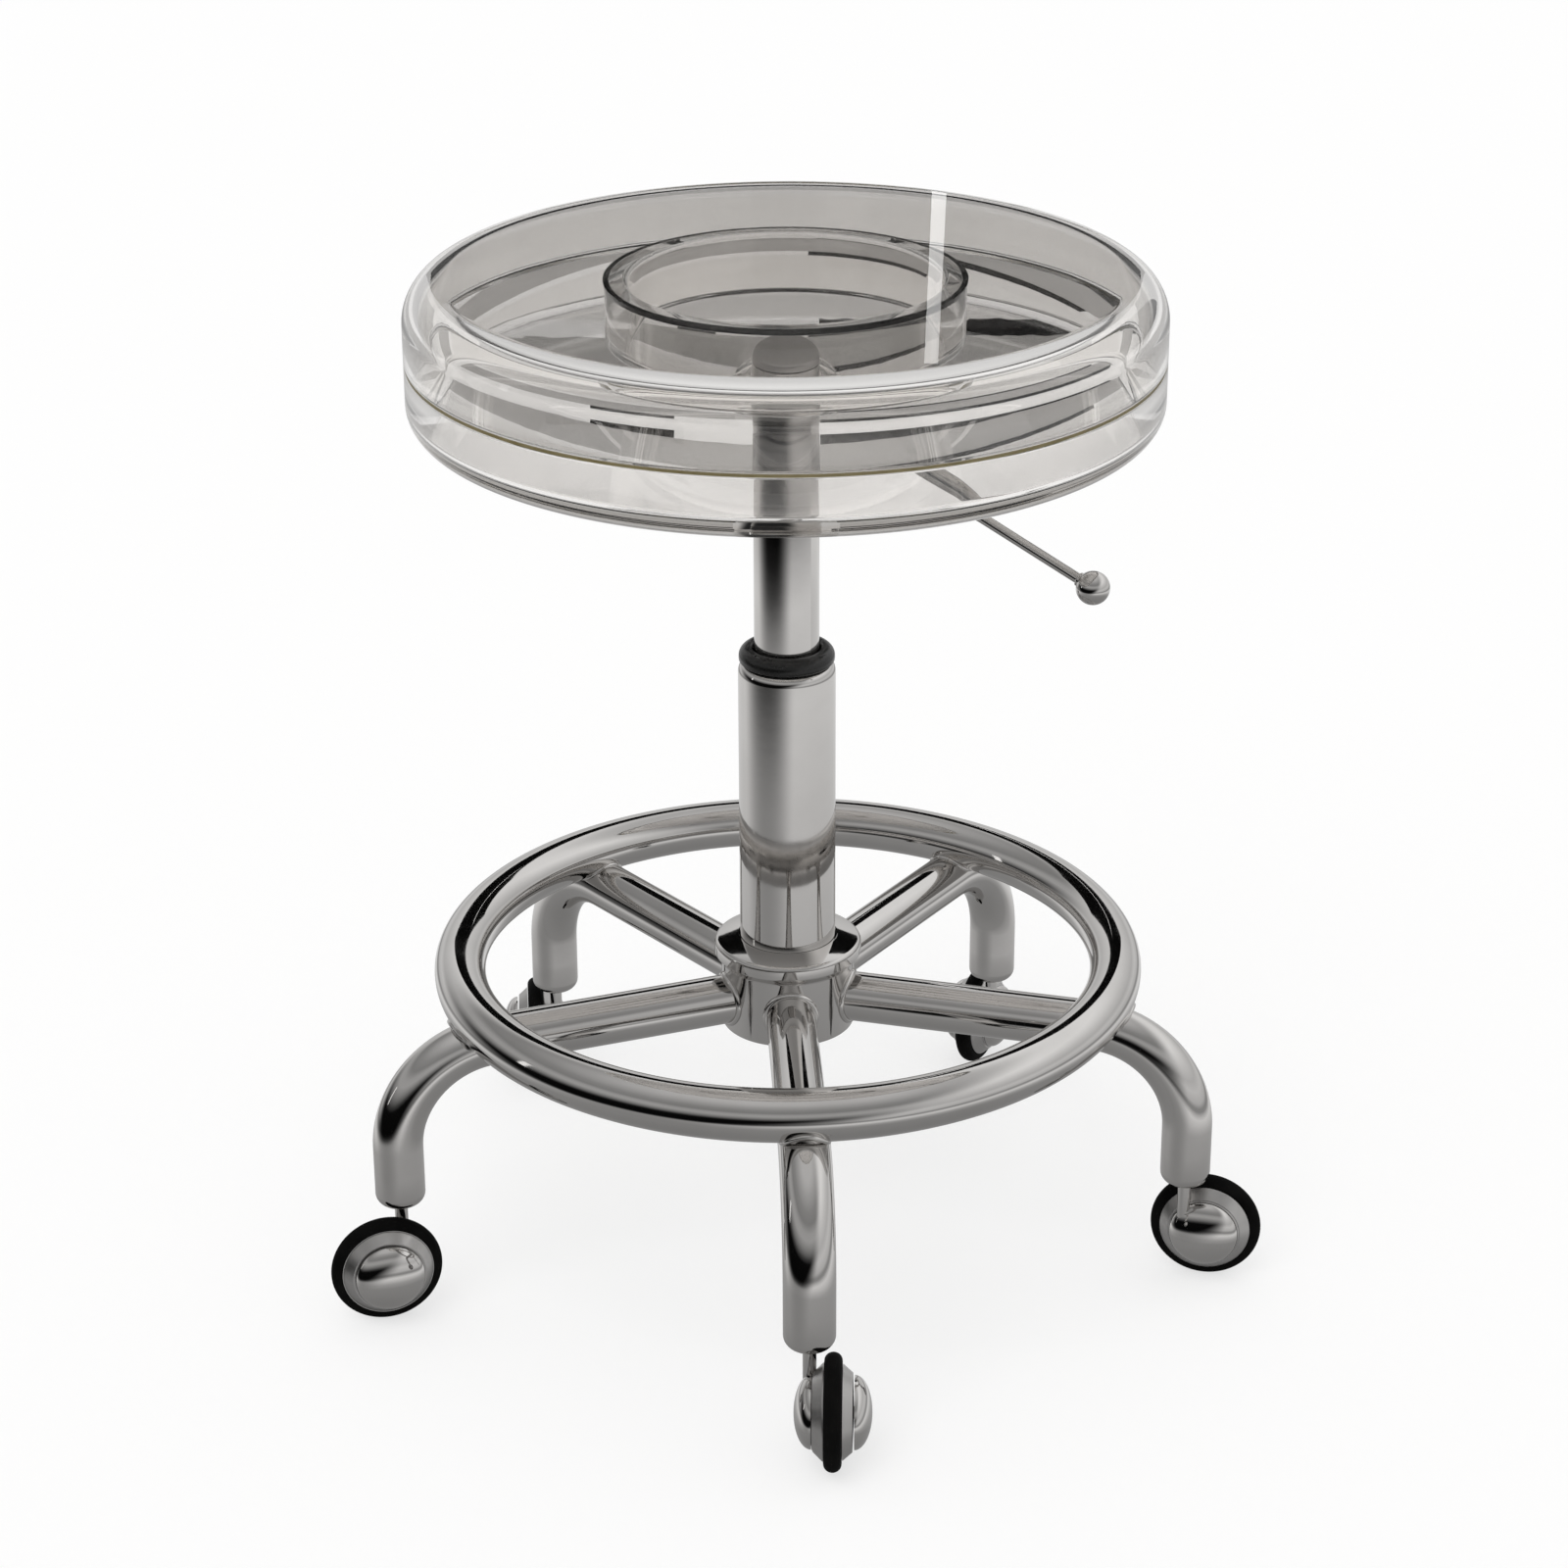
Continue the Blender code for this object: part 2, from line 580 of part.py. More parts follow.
def make_post_end(seat, lever_line):
    """The clear boss that holds the post in the tray, and the cap on the post's open end."""
    boss_low = TRAY_FLOOR_Z + GAP
    boss = ring_profile(POST_HOLE_R, POST_HOLE_R + BOSS_W, boss_low, boss_low + BOSS_H)
    piece(turned("seat_boss", boss, LIFT_STEPS), CLEAR, seat, lever_line)

    cap_low = POST_TOP_Z + GAP
    cap_top = cap_low + CAP_T
    spigot_r = POST_R - POST_WALL - GAP
    spigot_low = cap_low - CAP_SPIGOT_H
    edge_mid = (POST_R - CAP_EDGE_ROUND, cap_top - CAP_EDGE_ROUND)
    cap = [(0.0, cap_top)] + arc(edge_mid, CAP_EDGE_ROUND, 90, 0, EDGE_STEPS)
    cap += [(POST_R, cap_low), (spigot_r, cap_low), (spigot_r, spigot_low), (0.0, spigot_low)]
    piece(turned("post_cap", cap, LIFT_STEPS, False), STEEL, seat, lever_line)


def make_lever(seat):
    """The height lever: a rod with an eye on its pin, level under the seat and then drooping to a ball."""
    line = empty_at("lever_line", (0, 0, LEVER_Z), seat, (0, 0, LEVER_TURN))
    pivot = empty_at("lever_pivot", (LEVER_PIN_AT, 0, 0), line)
    bend_x = LEVER_BEND_AT - LEVER_PIN_AT
    bend_end_deg = 90 - math.degrees(LEVER_DROOP)
    bend_mid = (bend_x, -LEVER_BEND_R)
    bend = [(x, 0, z) for x, z in arc(bend_mid, LEVER_BEND_R, 90, bend_end_deg, LEVER_BEND_STEPS)]
    fall = Vector((math.cos(LEVER_DROOP), 0, -math.sin(LEVER_DROOP)))
    ball_run = (LEVER_BALL_REACH - LEVER_PIN_AT - bend[-1][0]) / fall.x
    ball_at = Vector(bend[-1]) + fall * ball_run
    rod_end = ball_at - fall * (LEVER_BALL_R - LEVER_SEAT_DEPTH)
    path = [(LEVER_INNER - LEVER_PIN_AT, 0, 0)] + bend + [tuple(rod_end)]
    rod = tube("lever_rod", path, [LEVER_R] * len(path), LEVER_SIDES)
    eye = bar("lever_eye", LEVER_EYE_R, (0, -LEVER_R, 0), (0, LEVER_R, 0), ROD_STEPS)
    combine(rod, eye, "UNION")
    hole = bar("lever_pin_hole", LEVER_PIN_R + GAP, (0, -LEVER_EYE_R, 0), (0, LEVER_EYE_R, 0), PIN_STEPS)
    place("lever_rod", finish_cut(rod, hole), CHROME, pivot)
    bpy.data.objects.remove(eye, do_unlink=True)

    outline = half_oval(0, LEVER_BALL_R, LEVER_BALL_R, DOME_STEPS)[::-1]
    outline += half_oval(0, LEVER_BALL_R, -LEVER_BALL_R, DOME_STEPS)[1:]
    ball = turned("lever_ball", outline, LEVER_BALL_STEPS, False)
    socket = bar("ball_socket", LEVER_R + GAP, (0, 0, LEVER_BALL_R - LEVER_SEAT_DEPTH - GAP),
                 (0, 0, LEVER_BALL_R + CUT_PAST), LEVER_SIDES)
    ball = place("lever_ball", finish_cut(ball, socket), CHROME, pivot)
    ball.location = ball_at
    ball.rotation_euler = (-fall).to_track_quat("Z", "Y").to_euler()

    pin_half = math.sqrt(POST_R ** 2 - LEVER_PIN_AT ** 2) - RUNNING_GAP
    pin = bar("lever_pin", LEVER_PIN_R, (LEVER_PIN_AT, -pin_half, 0), (LEVER_PIN_AT, pin_half, 0), PIN_STEPS)
    piece(pin, STEEL, line)


def make_caster_meshes():
    """The six pieces of a caster. Wheel pieces turn about Z, with the hood on the -Z side.

    The rim's sloping flange and cap show on one side, and the fixed hood has the same outline on the other.
    """
    seat_r = RIM_R - TYRE_SEAT_DEPTH
    seat_half = TYRE_FLANK - TYRE_SEAT_IN
    bore_r = AXLE_R + RUNNING_GAP
    rim = [(bore_r, RIM_FACE), (DOME_R, RIM_FACE), (RIM_R, TYRE_FLANK), (seat_r, seat_half)]
    rim += [(seat_r, -seat_half), (RIM_R, -TYRE_FLANK), (bore_r, -TYRE_FLANK)]
    tread_r = WHEEL_R / WHEEL_FLAT
    tyre_half = [(tread_r, TYRE_EDGE_ROUND - TYRE_FLANK), (tread_r - TYRE_EDGE_ROUND, -TYRE_FLANK)]
    tyre_half += [(RIM_R + GAP, -TYRE_FLANK), (seat_r + GAP, -seat_half + GAP)]
    tyre = [(r, -z) for r, z in tyre_half[::-1]] + tyre_half

    hood_face = -TYRE_FLANK - GAP
    face = RIM_FACE + GAP
    axle_end = hood_face - AXLE_IN_HOOD
    skirt = [(0.0, hood_face), (RIM_R - HOOD_INSET, hood_face)]
    hood = turned("hood", skirt + half_oval(-face, DOME_R, -DOME_H, DOME_STEPS), WHEEL_STEPS, False)
    axle_bore = bar("axle_bore", AXLE_R + GAP, (0, 0, hood_face + CUT_PAST),
                    (0, 0, axle_end - GAP), PIN_STEPS)
    stem_z = STEM_FOOT_Z - WHEEL_R
    stem_bore = bar("stem_bore", STEM_R + GAP, (-CASTER_TRAIL, -stem_z + GAP, -CASTER_OFFSET),
                    (-CASTER_TRAIL, -WHEEL_R, -CASTER_OFFSET), PIN_STEPS)
    cap = half_oval(face, DOME_R, DOME_H, DOME_STEPS)[::-1]
    cap += half_oval(face, DOME_R - DOME_WALL, DOME_H - DOME_WALL, DOME_STEPS)
    axle = [(0.0, face + AXLE_HEAD_H), (AXLE_HEAD_R, face + AXLE_HEAD_H), (AXLE_HEAD_R, face)]
    axle += [(AXLE_R, face), (AXLE_R, axle_end), (0.0, axle_end)]
    stem = rod_profile(STEM_R, STEM_FOOT_Z, STEM_TOP_Z)
    return {
        "stem": (baked(turned("stem", stem, PIN_STEPS, False), "stem"), CHROME),
        "hood": (finish_cut(hood, axle_bore, stem_bore), CHROME),
        "axle": (baked(turned("axle", axle, PIN_STEPS, False), "axle"), STEEL),
        "rim": (baked(turned("rim", rim, WHEEL_STEPS), "rim"), CHROME),
        "tyre": (baked(turned("tyre", tyre, WHEEL_STEPS), "tyre"), RUBBER),
        "cap": (baked(turned("cap", cap, WHEEL_STEPS, False), "cap"), CHROME),
    }


def make_casters(stool):
    shapes = make_caster_meshes()
    axle_way = (-math.pi / 2, 0, 0)
    half_step = math.pi / WHEEL_STEPS
    for index in range(LEG_COUNT):
        leg = FIRST_LEG_TURN + 2 * math.pi * index / LEG_COUNT
        spot = (LEG_REACH * math.cos(leg), LEG_REACH * math.sin(leg), 0)
        swivel = empty_at(f"caster_{index + 1}_swivel", spot, stool, (0, 0, CASTER_TURNS[index]))
        wheel = empty_at(f"caster_{index + 1}_roll", (CASTER_TRAIL, CASTER_OFFSET, WHEEL_R), swivel, axle_way)
        for kind, (mesh, finish) in shapes.items():
            on_stem = kind == "stem"
            turns = kind in ("rim", "tyre", "cap")
            place(f"caster_{index + 1}_{kind}", mesh, finish, swivel if on_stem else wheel,
                  (0, 0, half_step if turns else 0))


def main():
    middle = footprint_middle()
    stool = empty_at("stool", (-middle.x, -middle.y, 0))
    spindle = empty_at("seat_swivel", (0, 0, 0), stool)
    seat = empty_at("seat_lift", (0, 0, 0), spindle)
    make_base(stool)
    make_legs(stool)
    make_spindle(spindle)
    make_post(seat, (0, 0, LEVER_TURN))
    make_post_end(seat, (0, 0, LEVER_TURN))
    make_seat(seat)
    make_button(seat)
    make_lever(seat)
    make_casters(stool)
    bpy.data.collections.remove(BENCH)


clear_scene()
PARTS = new_collection("swivel_stool")
BENCH = new_collection("bench")
main()
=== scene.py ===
# %% [markdown]
# A clear swivel stool, dressed for its portrait.
# The solids of the stool are already there, packed as a frame of named nodes on moving bodies.
# This lesson builds the pieces that show, finer and smoother than the solids, and hangs each one on its body.

# %% Load the frame
import json
import math

import bpy
from mathutils import Matrix, Vector


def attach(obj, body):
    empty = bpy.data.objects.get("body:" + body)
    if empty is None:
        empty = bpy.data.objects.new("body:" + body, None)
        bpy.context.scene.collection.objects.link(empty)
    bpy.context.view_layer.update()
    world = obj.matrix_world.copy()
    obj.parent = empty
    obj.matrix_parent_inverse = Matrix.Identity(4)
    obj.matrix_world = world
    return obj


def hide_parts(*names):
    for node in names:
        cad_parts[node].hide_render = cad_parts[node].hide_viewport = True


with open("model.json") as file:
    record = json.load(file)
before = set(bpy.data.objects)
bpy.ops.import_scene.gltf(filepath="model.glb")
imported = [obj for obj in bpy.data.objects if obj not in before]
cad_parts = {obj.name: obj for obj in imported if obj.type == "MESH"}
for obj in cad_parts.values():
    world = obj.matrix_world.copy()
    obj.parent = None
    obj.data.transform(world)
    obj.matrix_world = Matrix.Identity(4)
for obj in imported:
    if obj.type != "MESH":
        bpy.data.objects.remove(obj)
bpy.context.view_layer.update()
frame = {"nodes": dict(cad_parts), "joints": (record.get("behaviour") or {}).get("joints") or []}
JOINTS = {joint["name"]: joint for joint in frame["joints"]}
AXIS = Vector(JOINTS["seat_swivel"]["pos_m"]) * Vector((1, 1, 0))

# %% [markdown]
# The camera stands where the photographer stood: about 1.7 m in front of the column and a metre up, looking down 24
# degrees. Its place could be guessed by eye, but a guess drifts, so it was solved from the rims of the seat and the
# ring. The turn of 2.64 degrees is there because the front leg in the picture does not point straight at the lens.

# %% Camera
IMAGE_SIDE = 1600
SENSOR = 36.0
FOCAL_PIXELS = 3845.9
MIDDLE_PIXEL = (803.4, 801.3)
CAMERA_FROM_AXIS = Vector((-0.0787, -1.7078, 1.0127))
CAMERA_TURN = math.radians(-2.64)
CAMERA_TILT = math.radians(66.02)
CAMERA_ROLL = math.radians(-0.196)

lens = bpy.data.cameras.new("portrait")
lens.sensor_width = SENSOR
lens.lens = FOCAL_PIXELS / IMAGE_SIDE * SENSOR
lens.shift_x = (IMAGE_SIDE / 2 - MIDDLE_PIXEL[0]) / IMAGE_SIDE
lens.shift_y = (MIDDLE_PIXEL[1] - IMAGE_SIDE / 2) / IMAGE_SIDE
camera = bpy.data.objects.new("portrait", lens)
look = Matrix.Rotation(CAMERA_TURN, 4, "Z") @ Matrix.Rotation(CAMERA_TILT, 4, "X")
camera.matrix_world = Matrix.Translation(AXIS + CAMERA_FROM_AXIS) @ look @ Matrix.Rotation(CAMERA_ROLL, 4, "Z")
bpy.context.scene.collection.objects.link(camera)
bpy.context.scene.camera = camera
bpy.context.scene.view_settings.view_transform = "Standard"
print("camera at", [round(v, 3) for v in camera.location], "lens", round(lens.lens, 2), "mm")

# %% [markdown]
# Finishes come next, because every later cell hands a piece its finish.
# A finish is a short chain of nodes that ends in one Principled shader. The helpers below save typing: `new_finish`
# starts a material, `noise` adds a cloudy pattern in real metres, and the others turn a pattern into a range of
# numbers, a range of colours or relief. All patterns read Object coordinates, so they stay still on the piece.

# %% Helpers for finishes
def new_finish(name):
    finish = bpy.data.materials.new(name)
    finish.use_nodes = True
    tree = finish.node_tree
    return finish, tree, tree.nodes["Principled BSDF"]


def noise(tree, per_metre, detail=4.0, stretch=(1, 1, 1)):
    """A noise pattern with that many clouds in a metre, stretched along an axis where asked."""
    where = tree.nodes.new("ShaderNodeTexCoord")
    mapping = tree.nodes.new("ShaderNodeMapping")
    mapping.inputs["Scale"].default_value = stretch
    clouds = tree.nodes.new("ShaderNodeTexNoise")
    clouds.inputs["Scale"].default_value = per_metre
    clouds.inputs["Detail"].default_value = detail
    tree.links.new(where.outputs["Object"], mapping.inputs["Vector"])
    tree.links.new(mapping.outputs["Vector"], clouds.inputs["Vector"])
    return clouds.outputs["Fac"]


def spread(tree, value, low, high, start=0.3, end=0.7):
    """Maps a pattern's usual range onto the range from low to high."""
    span = tree.nodes.new("ShaderNodeMapRange")
    span.inputs["From Min"].default_value = start
    span.inputs["From Max"].default_value = end
    span.inputs["To Min"].default_value = low
    span.inputs["To Max"].default_value = high
    tree.links.new(value, span.inputs["Value"])
    return span.outputs["Result"]


def colours(tree, value, stops):
    """A colour for each level of a pattern."""
    ramp = tree.nodes.new("ShaderNodeValToRGB")
    while len(ramp.color_ramp.elements) < len(stops):
        ramp.color_ramp.elements.new(0.5)
    for element, (level, colour) in zip(ramp.color_ramp.elements, stops):
        element.position = level
        element.color = (*colour, 1.0)
    tree.links.new(value, ramp.inputs["Fac"])
    return ramp.outputs["Color"]


def bumps(tree, shader, value, depth, strength):
    """Turns a pattern into relief of that depth in metres."""
    relief = tree.nodes.new("ShaderNodeBump")
    relief.inputs["Distance"].default_value = depth
    relief.inputs["Strength"].default_value = strength
    tree.links.new(value, relief.inputs["Height"])
    tree.links.new(relief.outputs["Normal"], shader.inputs["Normal"])


print("finish helpers ready")

# %% [markdown]
# Chrome plate is a mirror that is never quite perfect. It is a warm mid-grey in this picture.
# A plain metallic shader looks like computer chrome, so three faults are added: faint cloudy tarnish in the colour,
# wiped smears that raise the roughness, and a very shallow waviness that the polishing wheel leaves.
# The flanges of the wheels and the cap of the post are plated over a blasted face, so they get a second chrome, dull
# and even.

# %% Chrome
chrome, tree, shader = new_finish("polished_chrome")
tarnish = noise(tree, 26, 5)
tree.links.new(colours(tree, tarnish, [(0.3, (0.603, 0.588, 0.573)), (0.7, (0.653, 0.638, 0.623))]),
               shader.inputs["Base Color"])
shader.inputs["Metallic"].default_value = 1.0
smears = noise(tree, 60, 6, (1, 1, 0.35))
tree.links.new(spread(tree, smears, 0.03, 0.085), shader.inputs["Roughness"])
bumps(tree, shader, noise(tree, 180, 2), 0.00002, 0.25)

satin, tree, shader = new_finish("satin_chrome")
tree.links.new(colours(tree, noise(tree, 40, 4), [(0.3, (0.5, 0.49, 0.48)), (0.7, (0.56, 0.55, 0.54))]),
               shader.inputs["Base Color"])
shader.inputs["Metallic"].default_value = 1.0
tree.links.new(spread(tree, noise(tree, 400, 4), 0.3, 0.42), shader.inputs["Roughness"])
bumps(tree, shader, noise(tree, 900, 2), 0.00001, 0.3)
print("made", chrome.name, satin.name)

# %% [markdown]
# The drum is polished acrylic with a little warm smoke in it, which darkens it more where it is thicker. Glass with no
# faults looks like nothing at all, so the finish has a faint haze of wiping marks and a trace of waviness.
# Lamps cannot find their way through a refracting solid in a few samples, so for light and soft bounce rays the
# shell is swapped for a tinted clear film. A ray that has been mirrored three times inside gets the film too: it would
# soon be given up, and would leave the rims black. The camera and every first reflection meet real refraction.

# %% Clear acrylic
SMOKE = (0.58, 0.54, 0.5, 1.0)
SMOKE_PER_METRE = 3.0
ACRYLIC_IOR = 1.49
FILM = (0.95, 0.95, 0.945, 1.0)
MIRRORED_TOO_OFTEN = 2.5


def maths(tree, operation, first, second):
    """One sum: on a socket, and on a number or another socket."""
    node = tree.nodes.new("ShaderNodeMath")
    node.operation = operation
    tree.links.new(first, node.inputs[0])
    if isinstance(second, float):
        node.inputs[1].default_value = second
    else:
        tree.links.new(second, node.inputs[1])
    return node.outputs["Value"]


def swap(tree, share, first, second):
    """The first shader where the share is nought, the second where it is one."""
    mix = tree.nodes.new("ShaderNodeMixShader")
    tree.links.new(share, mix.inputs["Fac"])
    tree.links.new(first, mix.inputs[1])
    tree.links.new(second, mix.inputs[2])
    return mix.outputs["Shader"]


def clear_finish(name, tint, haze):
    finish, tree, shader = new_finish(name)
    darker = tuple(0.97 * c for c in tint)
    tree.links.new(colours(tree, noise(tree, 9, 3), [(0.35, darker), (0.65, tint)]), shader.inputs["Base Color"])
    shader.inputs["Transmission Weight"].default_value = 1.0
    shader.inputs["IOR"].default_value = ACRYLIC_IOR
    wiping = noise(tree, 45, 6, (1, 0.4, 1))
    tree.links.new(spread(tree, wiping, 0.0, haze), shader.inputs["Roughness"])
    bumps(tree, shader, noise(tree, 38, 2), 0.00002, 0.3)
    film = tree.nodes.new("ShaderNodeBsdfTransparent")
    film.inputs["Color"].default_value = FILM
    path = tree.nodes.new("ShaderNodeLightPath")
    lights = maths(tree, "MAXIMUM", path.outputs["Is Shadow Ray"], path.outputs["Is Diffuse Ray"])
    worn_out = maths(tree, "GREATER_THAN", path.outputs["Glossy Depth"], MIRRORED_TOO_OFTEN)
    share = maths(tree, "MAXIMUM", lights, worn_out)
    end = tree.nodes["Material Output"]
    tree.links.new(swap(tree, share, shader.outputs["BSDF"], film.outputs["BSDF"]), end.inputs["Surface"])
    smoke = tree.nodes.new("ShaderNodeVolumeAbsorption")
    smoke.inputs["Color"].default_value = SMOKE
    smoke.inputs["Density"].default_value = SMOKE_PER_METRE
    tree.links.new(smoke.outputs["Volume"], end.inputs["Volume"])
    return finish


acrylic = clear_finish("clear_acrylic", (0.96, 0.947, 0.933), 0.004)
print("made", acrylic.name)

# %% [markdown]
# The dark parts are three different blacks. The collar and the gas spring are moulded plastic with a satin grain; the
# tyres are rubber, duller, with dust in the grain; the bead on the clear ring is a smooth, shiny black that paints the
# dark line of its rim.
# A single black would read as a hole in the picture.

# %% Plastic, rubber and painted rim black
def dark_finish(name, low, high, rough_low, rough_high, grain, depth):
    finish, tree, shader = new_finish(name)
    dust = noise(tree, grain / 12, 5)
    tree.links.new(colours(tree, dust, [(0.35, low), (0.72, high)]), shader.inputs["Base Color"])
    tree.links.new(spread(tree, dust, rough_low, rough_high), shader.inputs["Roughness"])
    bumps(tree, shader, noise(tree, grain, 3), depth, 0.5)
    return finish


black_plastic = dark_finish("black_plastic", (0.004, 0.004, 0.004), (0.009, 0.009, 0.0085), 0.22, 0.36, 1400, 0.00004)
rubber = dark_finish("tyre_rubber", (0.0025, 0.0025, 0.0025), (0.006, 0.0057, 0.0054), 0.6, 0.8, 900, 0.00012)
rubber.node_tree.nodes["Principled BSDF"].inputs["Specular IOR Level"].default_value = 0.04
# The bead's black is painted shade: it stands in for the dark line that the clear ring's rim shows.
painted_rim_black = dark_finish("painted_rim_black", (0.003, 0.003, 0.003), (0.009, 0.009, 0.008), 0.06, 0.16, 300, 0.00001)
print("made", black_plastic.name, rubber.name, painted_rim_black.name)

# %% [markdown]
# Bright zinc-plated steel is for the small hidden works: metal again, but with fine turning marks, so its reflections
# are soft. The seam of the drum is a line of cured olive adhesive.

# %% Steel and seam
steel, tree, shader = new_finish("bright_steel")
marks = noise(tree, 700, 4, (1, 1, 0.08))
tree.links.new(colours(tree, marks, [(0.3, (0.36, 0.355, 0.35)), (0.7, (0.48, 0.475, 0.47))]),
               shader.inputs["Base Color"])
shader.inputs["Metallic"].default_value = 1.0
tree.links.new(spread(tree, marks, 0.22, 0.36), shader.inputs["Roughness"])
bumps(tree, shader, marks, 0.00002, 0.4)

seam_glue, tree, shader = new_finish("seam_glue")
cure = noise(tree, 120, 4)
tree.links.new(colours(tree, cure, [(0.3, (0.135, 0.108, 0.04)), (0.7, (0.2, 0.165, 0.075))]),
               shader.inputs["Base Color"])
tree.links.new(spread(tree, cure, 0.3, 0.55), shader.inputs["Roughness"])
bumps(tree, shader, noise(tree, 500, 3), 0.00008, 0.4)
print("made", steel.name, seam_glue.name)

# %% [markdown]
# Now the modelling tools. Nearly every piece of the stool is turned on a lathe in the workshop, so the main helper
# is a lathe: draw half of the outline beside the axis by extruding one vertex from point to point, then spin it.
# A spin can come out inside out, so doubles are merged and the normals are made to face outwards straight away.

# %% A lathe
FULL_TURN = 2 * math.pi
DOUBLES = 0.000001


def deselect():
    bpy.ops.object.select_all(action="DESELECT")


def clean():
    """Merges what lies double and turns the faces outwards, in edit mode."""
    bpy.ops.mesh.select_all(action="SELECT")
    bpy.ops.mesh.remove_doubles(threshold=DOUBLES)
    bpy.ops.mesh.normals_make_consistent(inside=False)


def spun(name, outline, steps, closed=True):
    """A turned piece from an outline of (radius, height) points; a closed outline makes a ring."""
    deselect()
    bpy.ops.mesh.primitive_plane_add(size=0.01)
    piece = bpy.context.object
    piece.name = name
    piece.data.name = name
    bpy.ops.object.mode_set(mode="EDIT")
    bpy.ops.mesh.select_all(action="SELECT")
    bpy.ops.mesh.merge(type="CENTER")
    here = Vector((outline[0][0], 0, outline[0][1]))
    bpy.ops.transform.translate(value=here)
    for radius, height in outline[1:] + outline[:1] * closed:
        there = Vector((radius, 0, height))
        bpy.ops.mesh.extrude_vertices_move(TRANSFORM_OT_translate={"value": there - here})
        here = there
    bpy.ops.mesh.select_all(action="SELECT")
    bpy.ops.mesh.spin(steps=steps, angle=FULL_TURN, center=(0, 0, 0), axis=(0, 0, 1))
    clean()
    bpy.ops.object.mode_set(mode="OBJECT")
    return piece


def curve_points(middle, across, up, start_deg, end_deg, steps):
    """Points of a round or oval corner in the outline's plane, both ends included."""
    points = []
    for i in range(steps + 1):
        angle = math.radians(start_deg + (end_deg - start_deg) * i / steps)
        points.append((middle[0] + across * math.cos(angle), middle[1] + up * math.sin(angle)))
    return points


print("lathe ready")

# %% [markdown]
# A piece is finished in one place too: it is moved to its spot with the move applied to its mesh, shaded smooth
# except at real edges, given its finish, and told which body it rides on, and the solid it stands for is hidden.

# %% Finishing a piece
SMOOTH_UNDER = math.radians(32)


def pick(piece):
    deselect()
    bpy.context.view_layer.objects.active = piece
    piece.select_set(True)


def put(piece, where, turn=(0, 0, 0)):
    """Moves and turns a piece, and applies that, so that the object itself stays at the origin."""
    pick(piece)
    piece.location = where
    piece.rotation_euler = turn
    bpy.ops.object.transform_apply(location=True, rotation=True, scale=True)
    return piece


def finish_piece(piece, finish, body, slot, *nodes):
    pick(piece)
    bpy.ops.object.shade_smooth_by_angle(angle=SMOOTH_UNDER)
    piece.data.materials.clear()
    piece.data.materials.append(finish)
    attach(piece, body)
    if nodes:
        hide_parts(*nodes)
    print(f"{piece.name}: {len(piece.data.polygons)} faces on {body}")


def copy_of(piece, name):
    """A copy with its own mesh."""
    twin = piece.copy()
    twin.data = piece.data.copy()
    twin.name = name
    twin.data.name = name
    bpy.context.scene.collection.objects.link(twin)
    return twin


def drop(piece):
    bpy.data.objects.remove(piece, do_unlink=True)


print("finishing tools ready")

# %% [markdown]
# The drum of the seat is two clear shells, a lid and a tray, bonded at a seam. They are hollow: the picture shows the
# post undistorted through the front, which a solid block would not allow.
# Each is one closed outline, out along the top and back along the inside, with real corner rounds, because the rounds
# are what bend the room into streaks. Many small steps matter here: a facet in clear plastic shows at once.

# %% Seat lid
SEAT_R = 0.180
SEAT_TOP = 0.5155
SEAT_H = 0.070
WALL = 0.0085
TOP_ROUND = 0.020
LOW_ROUND = 0.012
SEAM_DOWN = 0.0385
SEAM_Z = SEAT_TOP - SEAM_DOWN
SEAM_HALF = 0.0009
EDGE = 0.0006
EDGE_STEPS = 3
SEAT_STEPS = 192
ROUND_STEPS = 14

lid_low = SEAM_Z + SEAM_HALF
shoulder = (SEAT_R - TOP_ROUND, SEAT_TOP - TOP_ROUND)
inner_r = SEAT_R - WALL
lid_line = [(0, SEAT_TOP)] + curve_points(shoulder, TOP_ROUND, TOP_ROUND, 90, 0, ROUND_STEPS)
lid_line += curve_points((SEAT_R - EDGE, lid_low + EDGE), EDGE, EDGE, 0, -90, EDGE_STEPS)
lid_line += [(inner_r, lid_low)]
lid_line += curve_points(shoulder, TOP_ROUND - WALL, TOP_ROUND - WALL, 0, 90, ROUND_STEPS)
lid_line += [(0, SEAT_TOP - WALL)]
seat_lid = put(spun("seat_lid_clear", lid_line, SEAT_STEPS, closed=False), AXIS)
finish_piece(seat_lid, acrylic, "seat", "clear_acrylic", "seat_lid")

# %% [markdown]
# The tray is the lower shell, with a smaller round at its foot and a hole in its floor for the post. It could be
# closed and cut afterwards, but a ring-shaped outline leaves the hole open from the start, and needs no cutting.

# %% Seat tray
POST_R = 0.016
FIT = 0.0003
POST_HOLE = POST_R + FIT
SEAT_LOW = SEAT_TOP - SEAT_H
TRAY_FLOOR = SEAT_LOW + WALL

tray_high = SEAM_Z - SEAM_HALF
foot = (SEAT_R - LOW_ROUND, SEAT_LOW + LOW_ROUND)
tray_line = [(POST_HOLE, TRAY_FLOOR)]
tray_line += curve_points(foot, LOW_ROUND - WALL, LOW_ROUND - WALL, -90, 0, ROUND_STEPS)
tray_line += [(inner_r, tray_high)]
tray_line += curve_points((SEAT_R - EDGE, tray_high - EDGE), EDGE, EDGE, 90, 0, EDGE_STEPS)
tray_line += curve_points(foot, LOW_ROUND, LOW_ROUND, 0, -90, ROUND_STEPS)
tray_line += [(POST_HOLE, SEAT_LOW)]
seat_tray = put(spun("seat_tray_clear", tray_line, SEAT_STEPS), AXIS)
finish_piece(seat_tray, acrylic, "seat", "clear_acrylic", "seat_tray")

